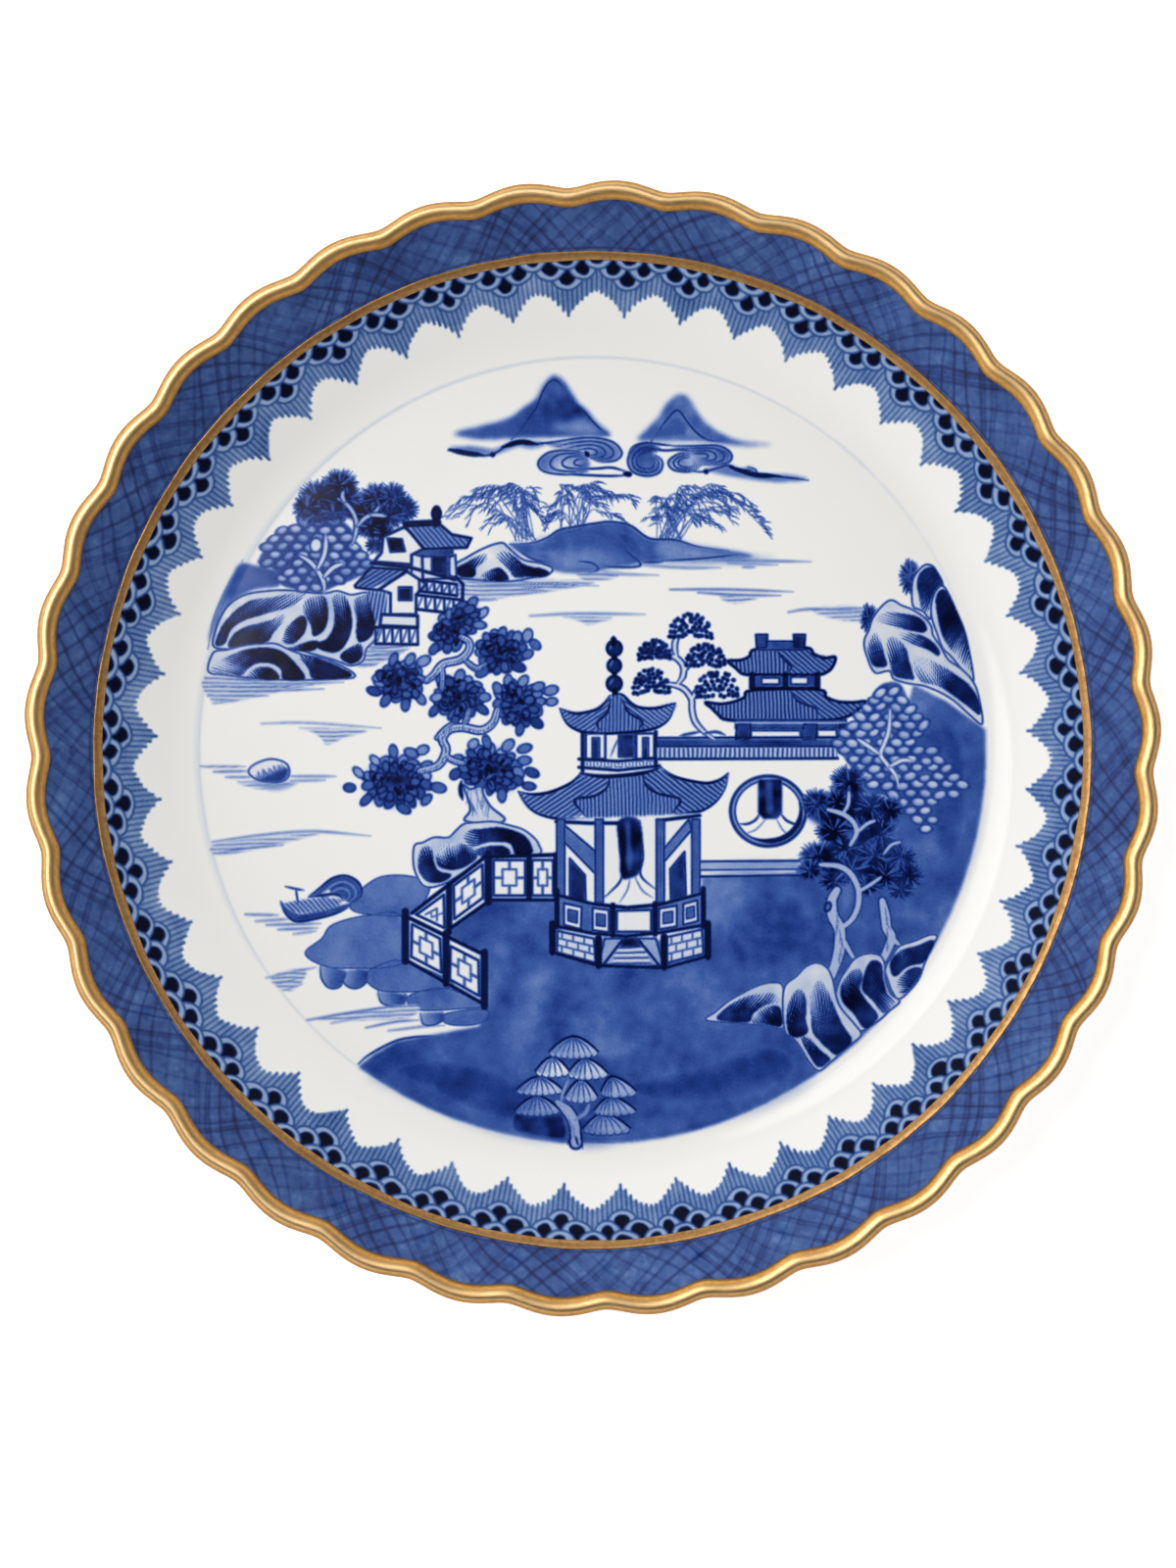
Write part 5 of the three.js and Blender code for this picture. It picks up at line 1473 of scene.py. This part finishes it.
# Cobalt under glaze: the tone gathers in grains and is coloured from white through blue to near black
cobalt, cobalt_in, cobalt_out = new_group(
    "Cobalt under glaze",
    [("Tone", "NodeSocketFloat")],
    [("Color", "NodeSocketColor"), ("Waves", "NodeSocketVector")],
)
place = new_node(cobalt, "TexCoord").outputs["Object"]
grain = noise(cobalt, place, Scale=2600, Detail=3, Roughness=0.6)
cloud = noise(cobalt, place, Scale=260, Detail=3, Roughness=0.55)
tone_in = cobalt_in.outputs["Tone"]
room = math_node(cobalt, "MULTIPLY", tone_in, math_node(cobalt, "SUBTRACT", 1.12, tone_in))
speck = math_node(cobalt, "MULTIPLY", math_node(cobalt, "SUBTRACT", grain, 0.5), 0.42)
drift = math_node(cobalt, "MULTIPLY", math_node(cobalt, "SUBTRACT", cloud, 0.5), 0.4)
gathered = math_node(cobalt, "MULTIPLY", math_node(cobalt, "ADD", speck, drift), room)
ramp = new_node(cobalt, "ValToRGB", Fac=math_node(cobalt, "ADD", tone_in, gathered, clamp=True))
stops = (
    (0.0, (243, 242, 238)), (0.1, (210, 217, 228)), (0.25, (160, 178, 216)), (0.4, (104, 131, 191)),
    (0.55, (62, 94, 168)), (0.7, (31, 60, 137)), (0.85, (11, 29, 88)), (1.0, (3, 6, 34)),
)
while len(ramp.color_ramp.elements) < len(stops):
    ramp.color_ramp.elements.new(0.5)
for element, (spot, colour) in zip(ramp.color_ramp.elements, stops):
    element.position = spot
    element.color = from_screen(*colour)

# The blue of the border and the flange is greyer than the blue of the landscape
out_from = from_middle(cobalt, new_node(cobalt, "SeparateXYZ", Vector=place).outputs)
past_well = math_node(cobalt, "SUBTRACT", out_from, 0.0568)
on_border = math_node(cobalt, "MULTIPLY", past_well, 2500.0, clamp=True)
strong = math_node(cobalt, "MULTIPLY", tone_in, 1.7, clamp=True)
grey_share = math_node(cobalt, "MULTIPLY", on_border, strong)
greyed = mix(cobalt, grey_share, ramp.outputs["Color"], BORDER_GREY, "MULTIPLY")
peel = noise(cobalt, place, Scale=120, Detail=2)
bump = new_node(cobalt, "Bump", Strength=0.12, Distance=0.0004, Height=peel)
feed(cobalt, cobalt_out, Color=greyed, Waves=bump.outputs["Normal"])

porcelain, tree, shader = new_material("porcelain_painted")
tone_node = new_node(tree, "Attribute", attribute_name="cobalt")
glaze = new_node(tree, "Group", node_tree=cobalt, Tone=tone_node.outputs["Fac"]).outputs
place = new_node(tree, "TexCoord").outputs["Object"]
height = new_node(tree, "SeparateXYZ", Vector=place).outputs["Z"]
bare = map_range(tree, height, From_Min=0.00045, From_Max=0.0002)
dull = math_node(tree, "ADD", math_node(tree, "MULTIPLY", bare, 0.6), 0.12)
feed(tree, shader, Base_Color=mix(tree, bare, glaze["Color"], BISCUIT), Roughness=dull,
     Normal=glaze["Waves"])
feed(tree, shader, IOR=1.5, Specular_IOR_Level=0.18)
body.data.materials.append(porcelain)
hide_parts("porcelain_body")
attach(body, "root")

# Gilt rim
# The lip is rolled to a round bead and covered with gold, brushed on and burnished after firing.
# The roll follows every lobe and is a little uneven in thickness, and a painted highlight makes its crest
# paler.
RIM_COLUMNS = LOBES * 30
RIM_SECTION = 28
CROWN_SHIFT = 0.3
OUTER_REACH = 0.77
INNER_REACH = 1.22
# Pale cream painted on the crest of the bead as a painted highlight
CREST_HIGHLIGHT_GOLD = (248, 224, 176)


def ring_piece(name, rows):
    count = len(rows[0])
    here = np.arange(count)
    after = (here + 1) % count
    starts = np.arange(len(rows)) * count
    quads = []
    for a, b in zip(starts, np.roll(starts, -1)):
        quads.append(np.stack([a + here, a + after, b + after, b + here], -1))
    return new_piece(name, np.concatenate(rows), np.concatenate(quads).ravel(),
                     np.full(len(rows) * count, 4))


rim_turns = np.arange(RIM_COLUMNS) * 2 * math.pi / RIM_COLUMNS
uneven = 0.02 * np.sin(5 * rim_turns + 1.0) + 0.015 * np.sin(13 * rim_turns)
uneven = uneven + 0.012 * np.sin(31 * rim_turns + 2)
rim_rows = []
for k in range(RIM_SECTION):
    angle = 2 * math.pi * k / RIM_SECTION
    on_inside = math.cos(angle - FLANGE_SLOPE - 1.2) < 0
    size = BEAD_RADIUS * (0.985 + uneven * (0.3 + 0.7 * on_inside))
    reach = OUTER_REACH if math.cos(angle) > 0 else INNER_REACH
    radius = BEAD_MIDDLE + CROWN_SHIFT + size * reach * math.cos(angle)
    x, y = lobed(rim_turns, radius)
    rim_rows.append(np.column_stack([x, y, BEAD_LEVEL + 0.96 * size * math.sin(angle)]))
rim = ring_piece("gilt_rim_visual", rim_rows)

# Gilding: brush streaks round the dish, thin places where the brown ground shows through, and
# a painted highlight: the crest of the bead is painted a paler cream where the lamp shines on it
gilding, gilding_in, gilding_out = new_group(
    "Rubbed gilding",
    [("Gold", "NodeSocketColor"), ("Thin", "NodeSocketColor"), ("Rubbed", "NodeSocketColor")],
    [("Color", "NodeSocketColor"), ("Roughness", "NodeSocketFloat"), ("Waves", "NodeSocketVector")],
)
place = new_node(gilding, "TexCoord").outputs["Object"]
parts = new_node(gilding, "SeparateXYZ", Vector=place).outputs
streak_place = new_node(
    gilding,
    "CombineXYZ",
    X=math_node(gilding, "MULTIPLY", math_node(gilding, "ARCTAN2", parts["Y"], parts["X"]), 6.0),
    Y=math_node(gilding, "MULTIPLY", from_middle(gilding, parts), 4200.0),
    Z=math_node(gilding, "MULTIPLY", parts["Z"], 4200.0),
)
streak = noise(gilding, streak_place.outputs["Vector"], Scale=1.0, Detail=3, Roughness=0.6)
blot = noise(gilding, place, Scale=1400, Detail=4, Roughness=0.65)
streak_share = math_node(gilding, "MULTIPLY", streak, 0.4)
wear = math_node(gilding, "ADD", streak_share, math_node(gilding, "MULTIPLY", blot, 0.6))
thin = map_range(gilding, wear, From_Min=0.44, From_Max=0.62)
# Painted highlight: the top of the bead, by height, is mixed half way towards the pale cream
crest_highlight = map_range(
    gilding,
    parts["Z"],
    From_Min=(BEAD_LEVEL + 0.72 * BEAD_RADIUS) * MM,
    From_Max=(BEAD_LEVEL + 0.98 * BEAD_RADIUS) * MM,
    To_Max=0.5,
)
golds = gilding_in.outputs
brushed = mix(gilding, thin, golds["Gold"], golds["Thin"])
satin = math_node(gilding, "ADD", math_node(gilding, "MULTIPLY", thin, 0.1), 0.35)
ridge = new_node(gilding, "Bump", Strength=0.12, Distance=0.0001, Height=wear)
highlighted = mix(gilding, crest_highlight, brushed, golds["Rubbed"])
feed(gilding, gilding_out, Color=highlighted, Roughness=satin, Waves=ridge.outputs["Normal"])


def gilt_material(name, gold, thin, metal):
    material, tree, shader = new_material(name)
    node = new_node(tree, "Group", node_tree=gilding, Gold=from_screen(*gold), Thin=from_screen(*thin))
    # The pale cream of the painted highlight on the bead's crest
    feed(tree, node, Rubbed=from_screen(*CREST_HIGHLIGHT_GOLD))
    look = node.outputs
    feed(tree, shader, Base_Color=look["Color"], Roughness=look["Roughness"], Normal=look["Waves"])
    feed(tree, shader, Metallic=metal)
    return material


rim.data.materials.append(gilt_material("gilding_burnished", (204, 152, 80), (184, 131, 65), 1.0))
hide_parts("gilt_rim")
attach(rim, "root")

# Gilt line
# A flat line of gold brushed on the wall where it bends into the flange. Its edges waver with the
# hand that held the brush while the dish turned, and it is more satin than the rim.
BAND_COLUMNS = 1440
BAND_LIFT = 0.12
BAND_SECTION = ((0.0, -0.15), (0.03, 0.05), (0.14, BAND_LIFT), (0.86, BAND_LIFT), (0.97, 0.05),
                (1.0, -0.15))

turn = np.arange(BAND_COLUMNS) * 2 * math.pi / BAND_COLUMNS
waver_in = 0.05 * np.sin(7 * turn + 0.5) + 0.04 * np.sin(17 * turn + 2) + 0.03 * np.sin(41 * turn)
waver_out = 0.05 * np.sin(9 * turn + 3) + 0.03 * np.sin(23 * turn + 1) + 0.025 * np.sin(53 * turn)
band_rows = []
for share, lift in BAND_SECTION:
    radius = BAND_IN + waver_in + share * (BAND_OUT - 0.05 - BAND_IN + waver_out - waver_in)
    level = WELL_LEVEL + SWEEP * (1 - math.cos(WALL_SLOPE)) + (radius - wall_foot) * math.tan(WALL_SLOPE)
    lifted = radius - lift * math.sin(WALL_SLOPE)
    height = level + lift * math.cos(WALL_SLOPE)
    band_rows.append(np.column_stack([lifted * np.cos(turn), lifted * np.sin(turn), height]))
band = ring_piece("gilt_band_visual", band_rows[::-1])
band.data.materials.append(gilt_material("gilding_satin", (174, 131, 76), (140, 98, 50), 0.6))
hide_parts("gilt_band")
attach(band, "root")

# Table, light and camera
# The dish stands on a plain white table, lit by a soft lamp from the upper left and a pale room. The
# room is dark straight overhead, where the camera is, so that the glaze doesn't mirror it in the well.
TABLE_HALF = 3
LAMP_FAR = 0.8
LAMP_TURN = math.radians(148)
LAMP_RISE = math.radians(67)
CAMERA_FAR = 0.8
CAMERA_LEAN = math.radians(1.6)
CAMERA_AIM = (-0.000594, -0.00484, 0.0179)
SENSOR = 36
VIEW_WIDE = 0.1549

table_mesh = bpy.data.meshes.new("table")
ends = [(-TABLE_HALF, -TABLE_HALF, 0), (TABLE_HALF, -TABLE_HALF, 0), (TABLE_HALF, TABLE_HALF, 0),
        (-TABLE_HALF, TABLE_HALF, 0)]
table_mesh.from_pydata(ends, [], [(0, 1, 2, 3)])
table = new_object("table", table_mesh)
white, tree, shader = new_material("white_table")
in_view = new_node(tree, "LightPath").outputs["Is Camera Ray"]
feed(tree, shader, Base_Color=(0.9, 0.9, 0.9, 1), Roughness=0.9, Specular_IOR_Level=0.0)
feed(tree, shader, Emission_Color=(1, 1, 1, 1), Emission_Strength=math_node(tree, "MULTIPLY", in_view, 0.6))
table.data.materials.append(white)

lamp = bpy.data.lights.new("soft_lamp", "AREA")
lamp.shape = "DISK"
lamp.size = 0.42
lamp.energy = 3.4
lamp_object = new_object("soft_lamp", lamp)
level = math.cos(LAMP_RISE)
toward = (math.cos(LAMP_TURN) * level, math.sin(LAMP_TURN) * level, math.sin(LAMP_RISE))
lamp_object.location = [LAMP_FAR * part for part in toward]
lamp_object.rotation_euler = (math.pi / 2 - LAMP_RISE, 0, LAMP_TURN + math.pi / 2)

scene = bpy.context.scene
scene.world = bpy.data.worlds.new("pale_room")
scene.world.use_nodes = True
tree = scene.world.node_tree
way = new_node(tree, "SeparateXYZ", Vector=new_node(tree, "TexCoord").outputs["Generated"]).outputs
overhead = map_range(
    tree, way["Z"], interpolation_type="SMOOTHSTEP", From_Min=0.35, From_Max=0.82, To_Min=1.32, To_Max=0.06
)
along_x = math_node(tree, "MULTIPLY", way["X"], math.cos(LAMP_TURN))
along_y = math_node(tree, "MULTIPLY", way["Y"], math.sin(LAMP_TURN))
to_lamp = math_node(tree, "MULTIPLY", math_node(tree, "ADD", along_x, along_y), 0.35)
brightness = math_node(tree, "MULTIPLY", overhead, math_node(tree, "ADD", to_lamp, 1.0))
feed(tree, tree.nodes["Background"], Strength=brightness, Color=(1, 1, 1, 1))

camera = bpy.data.cameras.new("camera")
camera.sensor_fit = "HORIZONTAL"
camera.sensor_width = SENSOR
camera.lens = SENSOR * CAMERA_FAR / VIEW_WIDE
camera_object = new_object("camera", camera)
back = CAMERA_FAR * math.sin(CAMERA_LEAN)
up = CAMERA_FAR * math.cos(CAMERA_LEAN)
camera_object.location = (CAMERA_AIM[0], CAMERA_AIM[1] - back, CAMERA_AIM[2] + up)
camera_object.rotation_euler = (CAMERA_LEAN, 0, 0)
scene.camera = camera_object
scene.view_settings.view_transform = "Standard"
